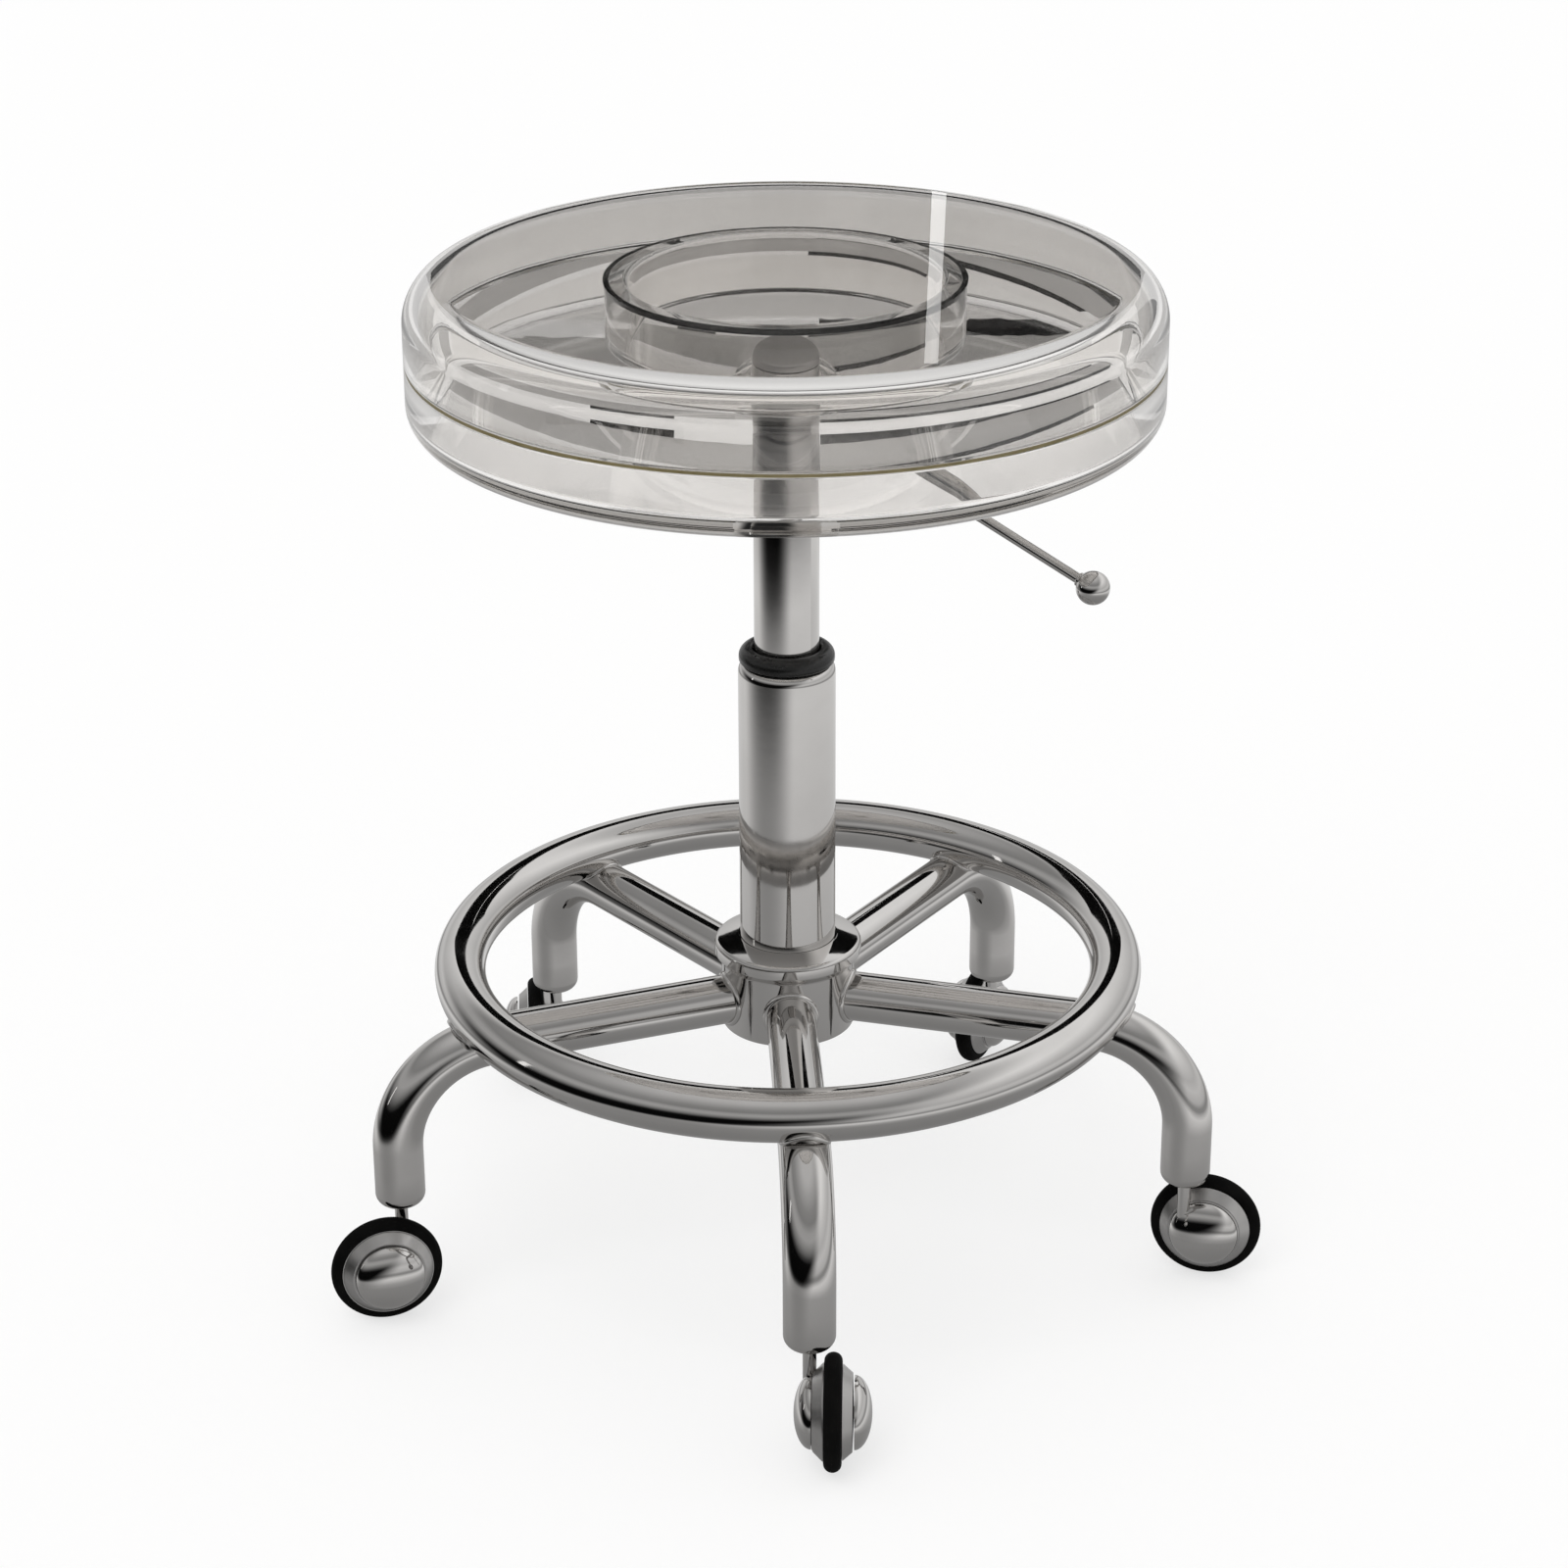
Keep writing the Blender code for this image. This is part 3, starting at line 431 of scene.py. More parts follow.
# %% [markdown]
# Between the shells runs a thin olive line, which is all that shows of the bond. It is a flat band at the outer edge,
# for a full disc would show through the lid.

# %% Seam
SEAM_T = 0.0006
SEAM_INSET = 0.0003
SEAM_W = 0.0025

seam_r = SEAT_R - SEAM_INSET
seam_line = [(seam_r - SEAM_W, SEAM_Z + SEAM_T), (seam_r, SEAM_Z + SEAM_T),
             (seam_r, SEAM_Z - SEAM_T), (seam_r - SEAM_W, SEAM_Z - SEAM_T)]
seat_seam = put(spun("seat_seam_line", seam_line, SEAT_STEPS), AXIS)
finish_piece(seat_seam, seam_glue, "seat", "seam_seal", "seat_seal")

# %% [markdown]
# Under the lid sits a clear ring. Its corners are rounded well, because a round corner bends the room into dark and
# bright lines, where a knife edge would show nothing. A black bead runs round the ring's outer top corner. It is
# painted
# shade: a dark line put in place of the dark lines that the clear rim bends in from the room, with real glints of its
# own.

# %% Core ring
CORE_R = 0.085
CORE_WALL = 0.011
CORE_H = 0.030
CORE_ROUND = 0.0026
CORE_ROUND_STEPS = 8
DARK_BEAD_GAP = 0.00005
DARK_BEAD_FLARE = 0.0006
DARK_BEAD_ARC = (80, 5)
DARK_BEAD_FOOT = 0.9
DARK_BEAD_INNER = 0.8


def rounded(inner, outer, low, high, corner, steps=4):
    """The outline of a plain ring with its four corners rounded off."""
    line = []
    for radius, height, start in ((outer - corner, high - corner, 90), (outer - corner, low + corner, 0),
                                  (inner + corner, low + corner, -90), (inner + corner, high - corner, -180)):
        line += curve_points((radius, height), corner, corner, start, start - 90, steps)
    return line


core_top = SEAT_TOP - WALL - FIT
core_line = rounded(CORE_R - CORE_WALL, CORE_R, core_top - CORE_H, core_top, CORE_ROUND, CORE_ROUND_STEPS)
core_ring = put(spun("core_ring_clear", core_line, SEAT_STEPS), AXIS)
finish_piece(core_ring, acrylic, "seat", "clear_acrylic", "core_ring")

# The black bead paints the dark line of the rim; it is painted shade, laid over the clear ring's top corner.
dark_bead_r = CORE_ROUND + DARK_BEAD_GAP
dark_bead_line = curve_points((CORE_R - CORE_ROUND, core_top - CORE_ROUND), dark_bead_r, dark_bead_r, *DARK_BEAD_ARC, CORE_ROUND_STEPS)
dark_bead_line += [(CORE_R + DARK_BEAD_FLARE / 3, core_top - CORE_ROUND * DARK_BEAD_FOOT),
              (CORE_R + DARK_BEAD_FLARE, core_top - DARK_BEAD_GAP),
              (CORE_R - CORE_ROUND * DARK_BEAD_INNER, core_top - DARK_BEAD_GAP)]
core_painted_dark_bead = put(spun("core_ring_painted_dark_bead", dark_bead_line, SEAT_STEPS), AXIS)
finish_piece(core_painted_dark_bead, painted_rim_black, "seat", "seam_seal")

# %% [markdown]
# The post comes up through the tray, inside a clear boss, and ends in a plain metal cap. In the picture the cap is
# the small grey half-oval that shows through the lid, just in front of the ring. Both could be cut from cylinders, but
# a turned outline gives the boss its rounded corners, and the cap its spigot, in one go.

# %% Boss and cap
BOSS_W = 0.008
BOSS_H = 0.009
BOSS_ROUND = 0.0007
CAP_UP = 0.025
CAP_TOP = SEAT_LOW + CAP_UP
CAP_T = 0.0025
CAP_ROUND = 0.001
SPIGOT_H = 0.006
POST_WALL = 0.0015
TUBE_STEPS = 96

boss_low = TRAY_FLOOR + FIT
boss_line = rounded(POST_HOLE, POST_HOLE + BOSS_W, boss_low, boss_low + BOSS_H, BOSS_ROUND)
boss = put(spun("seat_boss_clear", boss_line, TUBE_STEPS), AXIS)
finish_piece(boss, acrylic, "seat", "clear_acrylic", "seat_boss")

cap_low = CAP_TOP - CAP_T
spigot = POST_R - POST_WALL - FIT
cap_line = [(0, CAP_TOP)] + curve_points((POST_R - CAP_ROUND, CAP_TOP - CAP_ROUND), CAP_ROUND, CAP_ROUND, 90, 0, 5)
cap_line += [(POST_R, cap_low), (spigot, cap_low), (spigot, cap_low - SPIGOT_H), (0, cap_low - SPIGOT_H)]
post_cap = put(spun("post_end_cap", cap_line, TUBE_STEPS, closed=False), AXIS)
finish_piece(post_cap, satin, "seat", "bright_steel", "post_cap")

# %% [markdown]
# The seat post is a plain chrome tube with a slot for the lever. The tube is spun; the slot is cut by a Boolean with a
# cutter that is itself a cube stretched and bevelled, so that the slot has round ends as a milled one does.

# %% Seat post
POST_LOW = 0.215
POST_TOP = CAP_TOP - CAP_T - FIT
TUBE_EDGE = 0.0004
LEVER_PIVOT = Vector(JOINTS["lever_lift"]["pos_m"])
LEVER_TURN = math.atan2(LEVER_PIVOT.y - AXIS.y, LEVER_PIVOT.x - AXIS.x)
SLOT_HALF = 0.0033
SLOT_UP = 0.0013
SLOT_OUT = POST_R * 1.06


def boolean_cut(piece, tool):
    """Cuts a tool out of a piece, and puts the tool away."""
    step = piece.modifiers.new("cut", "BOOLEAN")
    step.operation = "DIFFERENCE"
    step.object = tool
    step.solver = "EXACT"
    pick(piece)
    bpy.ops.object.modifier_apply(modifier=step.name)
    drop(tool)


seat_post = spun("seat_post_tube", rounded(POST_R - POST_WALL, POST_R, POST_LOW, POST_TOP, TUBE_EDGE), TUBE_STEPS)
deselect()
bpy.ops.mesh.primitive_cube_add(size=1)
slot_tool = bpy.context.object
bpy.ops.object.mode_set(mode="EDIT")
bpy.ops.transform.resize(value=(POST_R, 2 * SLOT_HALF, 2 * SLOT_HALF + SLOT_UP))
bpy.ops.mesh.bevel(offset=SLOT_HALF * 0.8, segments=6, affect="EDGES")
bpy.ops.transform.translate(value=(SLOT_OUT, 0, LEVER_PIVOT.z + SLOT_UP / 2))
bpy.ops.object.mode_set(mode="OBJECT")
boolean_cut(seat_post, slot_tool)
finish_piece(put(seat_post, AXIS, (0, 0, LEVER_TURN)), chrome, "seat", "chrome", "seat_post")

# %% [markdown]
# The column below it is a wider chrome tube whose top is rolled inwards. The picture shows a bright lip under the
# collar, which is the roll, so it is modelled, not painted.

# %% Column
COLUMN_R = 0.024
COLUMN_BORE = 0.0205
COLUMN_LOW = 0.1273
COLUMN_TOP = 0.3187
COLUMN_STEPS = 128
LIP_W = 0.0032
LIP_H = 0.005

column_line = [(COLUMN_BORE, COLUMN_TOP)]
column_line += curve_points((COLUMN_R - LIP_W, COLUMN_TOP - LIP_H), LIP_W, LIP_H, 90, 0, 10)
column_line += [(COLUMN_R, COLUMN_LOW), (COLUMN_BORE, COLUMN_LOW)]
column = put(spun("column_tube_chrome", column_line, COLUMN_STEPS), AXIS)
finish_piece(column, chrome, "base", "chrome", "column_tube")

# %% [markdown]
# A black guide collar bulges out of the column like a cushion. A plain ring would do from afar, but the highlight on
# it runs along the round, so it has a large round above, a small one below, a lead-in at the post and a long sleeve.

# %% Collar
COLLAR_R = 0.0236
COLLAR_H = 0.008
COLLAR_PLAY = 0.0004
COLLAR_BORE = POST_R + COLLAR_PLAY
COLLAR_LEAD = ((0, 0.0024), (0.0004, 0.0009), (0.0013, 0))
COLLAR_ROUND = 0.0049
COLLAR_UNDER = 0.002
SLEEVE_H = 0.034

collar_low = COLUMN_TOP + FIT
collar_top = collar_low + COLLAR_H
sleeve_r = COLUMN_BORE - FIT
upper = (COLLAR_R - COLLAR_ROUND, collar_top - COLLAR_ROUND)
under = (COLLAR_R - COLLAR_UNDER, collar_low + COLLAR_UNDER)
collar_line = [(COLLAR_BORE + out, collar_top - down) for out, down in COLLAR_LEAD]
collar_line += curve_points(upper, COLLAR_ROUND, COLLAR_ROUND, 90, 0, 12)
collar_line += curve_points(under, COLLAR_UNDER, COLLAR_UNDER, 0, -90, 6)
collar_line += [(sleeve_r, collar_low), (sleeve_r, collar_low - SLEEVE_H), (COLLAR_BORE, collar_low - SLEEVE_H)]
collar = put(spun("column_collar_black", collar_line, COLUMN_STEPS), AXIS)
finish_piece(collar, black_plastic, "base", "black_plastic", "column_collar")

# %% [markdown]
# The hub is one turned block: a flange with a gently coned top, a short neck and a plain body that the spokes run
# into. Every corner is rounded a little, for a plated corner is never sharp, and it is there that chrome glints.

# %% Hub
LEG_AXIS_Z = 0.1395
LEG_R = 0.0125
HUB_R = 0.0335
HUB_FLANGE = 0.037
HUB_LOW = 0.123
HUB_TOP = 0.171
HUB_BORE = COLUMN_R + FIT
HUB_LAND = 0.001
CROWN_ROUND = 0.0025
CROWN_DOWN = 0.0045
HUB_EDGE = 0.0012
FLANGE_DOWN = 0.0085
NECK_ROUND = 0.0016
NECK_DOWN = 0.0135
HUB_HOLE = 0.016
HUB_FLOOR = 0.004

hub_line = [(HUB_BORE, HUB_TOP), (HUB_BORE + HUB_LAND, HUB_TOP)]
hub_line += curve_points((HUB_FLANGE - CROWN_ROUND, HUB_TOP - CROWN_DOWN), CROWN_ROUND, CROWN_ROUND, 80, 0, 8)
hub_line += curve_points((HUB_FLANGE - HUB_EDGE, HUB_TOP - FLANGE_DOWN), HUB_EDGE, HUB_EDGE, 0, -45, 4)
hub_line += curve_points((HUB_R + NECK_ROUND, HUB_TOP - NECK_DOWN), NECK_ROUND, NECK_ROUND, 135, 180, 4)
hub_line += curve_points((HUB_R - HUB_EDGE, HUB_LOW + HUB_EDGE), HUB_EDGE, HUB_EDGE, 0, -90, 5)
hub_line += [(HUB_HOLE, HUB_LOW), (HUB_HOLE, HUB_LOW + HUB_FLOOR), (HUB_BORE, HUB_LOW + HUB_FLOOR)]
hub = put(spun("base_hub_chrome", hub_line, COLUMN_STEPS), AXIS)
finish_piece(hub, chrome, "base", "chrome", "base_hub")

# %% [markdown]
# The foot ring is a steel tube rolled into a hoop. It could be a ready-made torus, but spinning a circle of vertices
# round the column does the same job as the roller does, and leaves us free to choose a fine step.

# %% Foot ring
RING_R = 0.1655
RING_TUBE = 0.0128
RING_Z = 0.1572
RING_SIDES = 48
RING_STEPS = 224


def standing_circle(name, radius, sides, turn_about, where):
    """A circle of vertices, stood upright by a quarter turn and moved, left in edit mode and selected."""
    deselect()
    bpy.ops.mesh.primitive_circle_add(vertices=sides, radius=radius, location=(0, 0, 0))
    piece = bpy.context.object
    piece.name = name
    piece.data.name = name
    bpy.ops.object.mode_set(mode="EDIT")
    bpy.ops.mesh.select_all(action="SELECT")
    bpy.ops.transform.rotate(value=math.pi / 2, orient_axis=turn_about, center_override=(0, 0, 0))
    bpy.ops.transform.translate(value=where)
    return piece


ring = standing_circle("foot_ring_tube", RING_TUBE, RING_SIDES, "X", (RING_R, 0, RING_Z))
bpy.ops.mesh.spin(steps=RING_STEPS, angle=FULL_TURN, center=(0, 0, 0), axis=(0, 0, 1))
clean()
bpy.ops.object.mode_set(mode="OBJECT")
finish_piece(put(ring, AXIS), chrome, "base", "chrome", "foot_ring")

# %% [markdown]
# A leg is one bent tube: a level spoke, a round bend and a short drop with a rounded end that holds the caster.
# We draw the tube the way a bender makes it. A circle is extruded along the spoke, spun a quarter turn about the middle
# of the bend, extruded down, and drawn in at its end.

# %% One leg
LEG_REACH = 0.207
LEG_BEND = 0.050
LEG_END_Z = 0.058
LEG_END_ROUND = 0.006
LEG_SIDES = 40
LEG_IN_HUB = 0.004
LEG_START = HUB_R - LEG_IN_HUB
SPOKE_PARTS = 8
LEG_BEND_STEPS = 28
DROP_PARTS = 2
STEM_BORE = 0.00365
STEM_BORE_H = 0.036


def extrude_to(step):
    bpy.ops.mesh.extrude_edges_move(TRANSFORM_OT_translate={"value": step})


def end_round(axis_at, radius, round_r, steps):
    """Draws the selected open ring of a downward tube in along a quarter round of its end."""
    past = curve_points((radius - round_r, 0), round_r, round_r, 0, -90, steps)
    for (r0, z0), (r1, z1) in zip(past, past[1:]):
        extrude_to((0, 0, z1 - z0))
        bpy.ops.transform.resize(value=(r1 / r0, r1 / r0, 1), center_override=axis_at)


def close_ends():
    """Closes a drawn tube at its selected end and at its other one, and leaves edit mode."""
    bpy.ops.mesh.edge_face_add()
    bpy.ops.mesh.select_all(action="DESELECT")
    bpy.ops.mesh.select_non_manifold()
    bpy.ops.mesh.edge_face_add()
    clean()
    bpy.ops.object.mode_set(mode="OBJECT")


leg = standing_circle("leg", LEG_R, LEG_SIDES, "Y", (LEG_START, 0, LEG_AXIS_Z))
bend_x = LEG_REACH - LEG_BEND
for part in range(SPOKE_PARTS):
    extrude_to(((bend_x - LEG_START) / SPOKE_PARTS, 0, 0))
bend_middle = (bend_x, 0, LEG_AXIS_Z - LEG_BEND)
bpy.ops.mesh.spin(steps=LEG_BEND_STEPS, angle=math.pi / 2, center=bend_middle, axis=(0, -1, 0))
drop_z = LEG_AXIS_Z - LEG_BEND - LEG_END_Z - LEG_END_ROUND
for part in range(DROP_PARTS):
    extrude_to((0, 0, -drop_z / DROP_PARTS))
leg_end = (LEG_REACH, 0, LEG_END_Z)
end_round(leg_end, LEG_R, LEG_END_ROUND, 8)
inner = STEM_BORE / (LEG_R - LEG_END_ROUND)
extrude_to((0, 0, 0))
bpy.ops.transform.resize(value=(inner, inner, 1), center_override=leg_end)
extrude_to((0, 0, STEM_BORE_H))
close_ends()
print("leg drawn:", len(leg.data.polygons), "faces, box", [round(v, 4) for v in leg.dimensions])

# %% [markdown]
# The five legs are the same, so the one leg is copied with its own mesh and turned a fifth of a circle each time.
# The first one points at the front of the stool.

# %% Five legs
LEG_TURNS = [math.radians(-90 + 72 * k) for k in range(5)]
for k, turn in enumerate(LEG_TURNS):
    twin = put(copy_of(leg, f"leg_{k + 1}_tube"), AXIS, (0, 0, turn))
    finish_piece(twin, chrome, "base", "chrome", f"leg_{k + 1}")
drop(leg)

# %% [markdown]
# Where tubes meet they are welded and the weld is ground, so a soft bead runs round each joint. It catches a bright
# rim. The bead's path is worked out: where a level spoke meets the hub it is a saddle, and where the hoop lies in the
# spoke it is a closed loop over the top.

# %% Weld paths
SADDLE_POINTS = 48
LOOP_POINTS = 24
LOOP_SHARE = 0.995

saddle = []
for i in range(SADDLE_POINTS):
    a = FULL_TURN * i / SADDLE_POINTS
    y = LEG_R * math.sin(a)
    saddle.append((math.sqrt(HUB_R ** 2 - y ** 2), y, LEG_AXIS_Z + LEG_R * math.cos(a)))

reach = math.acos((RING_Z - RING_TUBE - LEG_AXIS_Z) / LEG_R) * LOOP_SHARE
outer_side, inner_side = [], []
for i in range(LOOP_POINTS + 1):
    a = reach * (2 * i / LOOP_POINTS - 1)
    y = LEG_R * math.sin(a)
    z = LEG_AXIS_Z + LEG_R * math.cos(a)
    half = math.sqrt(max(RING_TUBE ** 2 - (z - RING_Z) ** 2, 0))
    outer_side.append((math.sqrt((RING_R + half) ** 2 - y ** 2), y, z))
    inner_side.append((math.sqrt((RING_R - half) ** 2 - y ** 2), y, z))
loop = outer_side + inner_side[::-1]
print("weld paths:", len(saddle), "and", len(loop), "points")

# %% [markdown]
# A spin can only go round in a circle, so the beads are made another way: a curve with a round bevel follows each path
# and is then turned into a mesh. Both are made once, for a leg that points along X, and copied round like the legs.

# %% Weld beads
HUB_BEAD_R = 0.0016
RING_BEAD_R = HUB_BEAD_R * 0.8


def bead(name, points, radius):
    """A round bead along a closed loop of points."""
    path = bpy.data.curves.new(name, "CURVE")
    path.dimensions = "3D"
    path.bevel_depth = radius
    path.bevel_resolution = 4
    run = path.splines.new("POLY")
    run.points.add(len(points) - 1)
    for spot, point in zip(run.points, points):
        spot.co = (*point, 1)
    run.use_cyclic_u = True
    piece = bpy.data.objects.new(name, path)
    bpy.context.scene.collection.objects.link(piece)
    pick(piece)
    bpy.ops.object.convert(target="MESH")
    piece = bpy.context.object
    bpy.ops.object.mode_set(mode="EDIT")
    clean()
    bpy.ops.object.mode_set(mode="OBJECT")
    return piece


hub_bead = bead("hub_bead", saddle, HUB_BEAD_R)
ring_bead = bead("ring_bead", loop, RING_BEAD_R)
for k, turn in enumerate(LEG_TURNS):
    for bead_made, label in ((hub_bead, "hub_weld"), (ring_bead, "ring_weld")):
        twin = put(copy_of(bead_made, f"{label}_{k + 1}"), AXIS, (0, 0, turn))
        finish_piece(twin, chrome, "base", "chrome")
drop(hub_bead)
drop(ring_bead)

# %% [markdown]
# The height lever is a thin bent rod with a ball on its end. It leaves the slot in the post, runs level under the seat,
# droops through a gentle bend and ends in the ball. It is drawn as the legs were: extruded, spun through the bend and
# extruded again. It rides on its own body, so that it can be lifted.

# %% Lever
LEVER_R = 0.0025
LEVER_SIDES = 24
LEVER_PARTS = 6
LEVER_BEND_STEPS = 12
LEVER_INNER = -0.006
LEVER_BEND_AT = 0.091
LEVER_BEND = 0.040
LEVER_DROOP = math.radians(22.5)
BALL_REACH = 0.1634
BALL_R = 0.008
ROD_IN_BALL = 0.002

rod = standing_circle("lever_rod_chrome", LEVER_R, LEVER_SIDES, "Y", (LEVER_INNER, 0, 0))
for part in range(LEVER_PARTS):
    extrude_to(((LEVER_BEND_AT - LEVER_INNER) / LEVER_PARTS, 0, 0))
bend_middle = (LEVER_BEND_AT, 0, -LEVER_BEND)
bpy.ops.mesh.spin(steps=LEVER_BEND_STEPS, angle=LEVER_DROOP, center=bend_middle, axis=(0, -1, 0))
fall = Vector((math.cos(LEVER_DROOP), 0, -math.sin(LEVER_DROOP)))
bend_end = Vector((LEVER_BEND_AT + LEVER_BEND * math.sin(LEVER_DROOP), 0,
                   LEVER_BEND * (math.cos(LEVER_DROOP) - 1)))
ball_at = bend_end + fall * (BALL_REACH - bend_end.x) / fall.x
run = ball_at - fall * (BALL_R - ROD_IN_BALL) - bend_end
for part in range(LEVER_PARTS):
    extrude_to(run / LEVER_PARTS)
close_ends()
lever_at = AXIS + Vector((0, 0, LEVER_PIVOT.z))
finish_piece(put(rod, lever_at, (0, 0, LEVER_TURN)), chrome, "lever", "chrome", "lever_rod")

# %% [markdown]
# The ball is turned with a short neck, and with a bore that the rod's end sits in. It is spun upright, tipped along the
# rod's fall, and then carried to the lever's place with the same move as the rod.

# %% Lever ball
NECK_R = 0.0034
NECK_H = 0.0012
NECK_EDGE = 0.0004
ROD_PLAY = 0.0001
BALL_STEPS = 48

neck_z = math.sqrt(BALL_R ** 2 - NECK_R ** 2)
bore_r = LEVER_R + ROD_PLAY
ball_line = [(bore_r, neck_z - ROD_IN_BALL), (bore_r, neck_z + NECK_H), (NECK_R - NECK_EDGE, neck_z + NECK_H),
             (NECK_R, neck_z + NECK_H - NECK_EDGE)]
ball_line += curve_points((0, 0), BALL_R, BALL_R, math.degrees(math.asin(neck_z / BALL_R)), -90, 28)
ball_line[-1] = (0, -BALL_R)
ball_line += [(0, neck_z - ROD_IN_BALL)]
ball = spun("lever_ball_chrome", ball_line, BALL_STEPS)
put(ball, ball_at, (-fall).to_track_quat("Z", "Y").to_euler())
finish_piece(put(ball, lever_at, (0, 0, LEVER_TURN)), chrome, "lever", "chrome", "lever_ball")

# %% [markdown]
# The casters are ball-hub wheels: a thin black tyre, a chrome flange that slopes up from it on each face, and a chrome
# dome on top, so that a wheel seen from the front is shaped like a lens. On one face the dome is the hood, which with
# its skirt is fixed to the stem and carries the axle; on the other face are the rim and its cap, which turn.
# We turn each piece once, lying flat on its axle.

# %% Caster pieces
WHEEL_R = 0.028
TYRE_HALF = 0.0043
TYRE_ROUND = 0.0040
RIM_R = 0.023
SEAT_IN_R = 0.0212
SEAT_HALF = 0.0027
FLANGE_TOP = 0.0098
DOME_R = 0.0175
DOME_H = 0.0084
DOME_WALL = 0.0014
GROOVE = 0.0005
RIM_BORE = 0.0034
SKIRT_BORE = 0.004
WHEEL_STEPS = 96

tyre_line = [(SEAT_IN_R + FIT, SEAT_HALF - FIT), (RIM_R + FIT, TYRE_HALF)]
tyre_line += curve_points((WHEEL_R - TYRE_ROUND, 0), TYRE_ROUND, TYRE_HALF, 90, 0, 9)
tyre_line += [(r, -z) for r, z in tyre_line[-2::-1]]
tyre = spun("tyre", tyre_line, WHEEL_STEPS)

flange = [(DOME_R + GROOVE, FLANGE_TOP - GROOVE), (DOME_R + 2 * GROOVE, FLANGE_TOP - GROOVE)]
flange += curve_points((RIM_R - 2 * GROOVE, TYRE_HALF), 2 * GROOVE, 2 * GROOVE, 50, 0, 4)
rim_line = [(RIM_BORE, FLANGE_TOP), (DOME_R, FLANGE_TOP)] + flange
rim_line += [(SEAT_IN_R, SEAT_HALF), (SEAT_IN_R, -SEAT_HALF), (RIM_R, -TYRE_HALF), (RIM_BORE, -TYRE_HALF)]
rim = spun("rim", rim_line, WHEEL_STEPS)

dome_low = FLANGE_TOP + FIT
dome = curve_points((0, dome_low), DOME_R, DOME_H, 90, 0, 20)
dome[0] = (0, dome_low + DOME_H)
inside = curve_points((0, dome_low), DOME_R - DOME_WALL, DOME_H - DOME_WALL, 0, 90, 16)
inside[-1] = (0, dome_low + DOME_H - DOME_WALL)
cap = spun("cap", dome + inside, WHEEL_STEPS, closed=False)

hood_low = TYRE_HALF + FIT
skirt_line = [(SKIRT_BORE, dome_low - FIT)] + flange[:2]
skirt_line += [(r - GROOVE, max(z, hood_low)) for r, z in flange[2:]] + [(SKIRT_BORE, hood_low)]
skirt = spun("hood_skirt", skirt_line, WHEEL_STEPS)
print("caster pieces turned")

# %% [markdown]
# The stem is a pin with a rounded top that goes up into the leg, and a small flange that the leg's end rests on. It
# could be two cylinders joined, but one outline on the lathe gives both, and leaves no seam between them.

# %% Caster stem
STEM_R = 0.00325
STEM_FOOT = 0.0305
STEM_TOP = 0.092
STEM_STEPS = 40
STEM_EDGE = 0.0006
STEM_FOOT_ROUND = 0.0012
STEM_FLANGE = ((0, 0.0002), (0.0012, 0.0004), (0.0012, 0.0014), (0, 0.0016))

stem_line = [(0, STEM_TOP)]
stem_line += curve_points((STEM_R - STEM_EDGE, STEM_TOP - STEM_EDGE), STEM_EDGE, STEM_EDGE, 90, 0, 4)
stem_line += [(STEM_R + out, LEG_END_Z - down) for out, down in STEM_FLANGE]
stem_line += curve_points((STEM_R - STEM_FOOT_ROUND, STEM_FOOT + STEM_FOOT_ROUND), STEM_FOOT_ROUND, STEM_FOOT_ROUND,
                          0, -90, 6)
stem_line += [(0, STEM_FOOT)]
stem = spun("stem", stem_line, STEM_STEPS, closed=False)
print("stem turned")

# %% [markdown]
# Now the five sets are stood up where their joints say. The place and the axle of a wheel come from its rolling joint,
# the stem's place from its swivel. The hood and its skirt are turned over first, to lie on the wheel's other face.

# %% Five casters
TURNED_OVER = Matrix.Rotation(math.pi, 3, "X").to_euler()
CASTER_SET = (("tyre", tyre, rubber, "tyre_rubber", "wheel"), ("rim", rim, satin, "chrome", "wheel"),
              ("cap", cap, chrome, "chrome", "wheel"), ("hood", cap, chrome, "chrome", "caster"),
              ("skirt", skirt, satin, "chrome", "caster"))


def wheel_stand(k):
    """Where a wheel's middle is and how its axle lies, from the caster's rolling joint."""
    roll = JOINTS[f"caster_{k}_roll"]
    axle = Vector(roll["axis"]).normalized()
    return Vector(roll["pos_m"]), Matrix((axle.cross((0, 0, 1)), (0, 0, 1), axle)).transposed().to_euler()


for k in range(1, 6):
    middle, stand = wheel_stand(k)
    for kind, model, finish, slot, body in CASTER_SET:
        twin = copy_of(model, f"caster_{k}_{kind}_turned")
        if body == "caster":
            put(twin, (0, 0, 0), TURNED_OVER)
        put(twin, middle, stand)
        nodes = [] if kind == "skirt" else [f"caster_{k}_{kind}"]
        finish_piece(twin, finish, f"{body}_{k}", slot, *nodes)
    swivel_at = Vector(JOINTS[f"caster_{k}_swivel"]["pos_m"]) * Vector((1, 1, 0))
    twin = put(copy_of(stem, f"caster_{k}_stem_pin"), swivel_at)
    finish_piece(twin, chrome, f"caster_{k}", "chrome", f"caster_{k}_stem")
for model in (tyre, rim, cap, skirt, stem):
    drop(model)

# %% [markdown]
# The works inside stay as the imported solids: nobody sees them unless the stool is turned over or a joint moves.
# They still get proper finishes, so that whatever does show looks like metal or plastic.

# %% Finishes for the hidden works
HIDDEN = {"gas_cylinder": black_plastic, "piston_rod": chrome, "retaining_clip": steel, "thrust_bearing": steel,
          "column_floor": steel, "release_button": steel, "lever_pin": steel}
HIDDEN.update({f"caster_{k}_axle": steel for k in range(1, 6)})
for node, finish in HIDDEN.items():
    mesh = frame["nodes"][node].data
    mesh.materials.clear()
    mesh.materials.append(finish)
print("finished", len(HIDDEN), "hidden nodes")

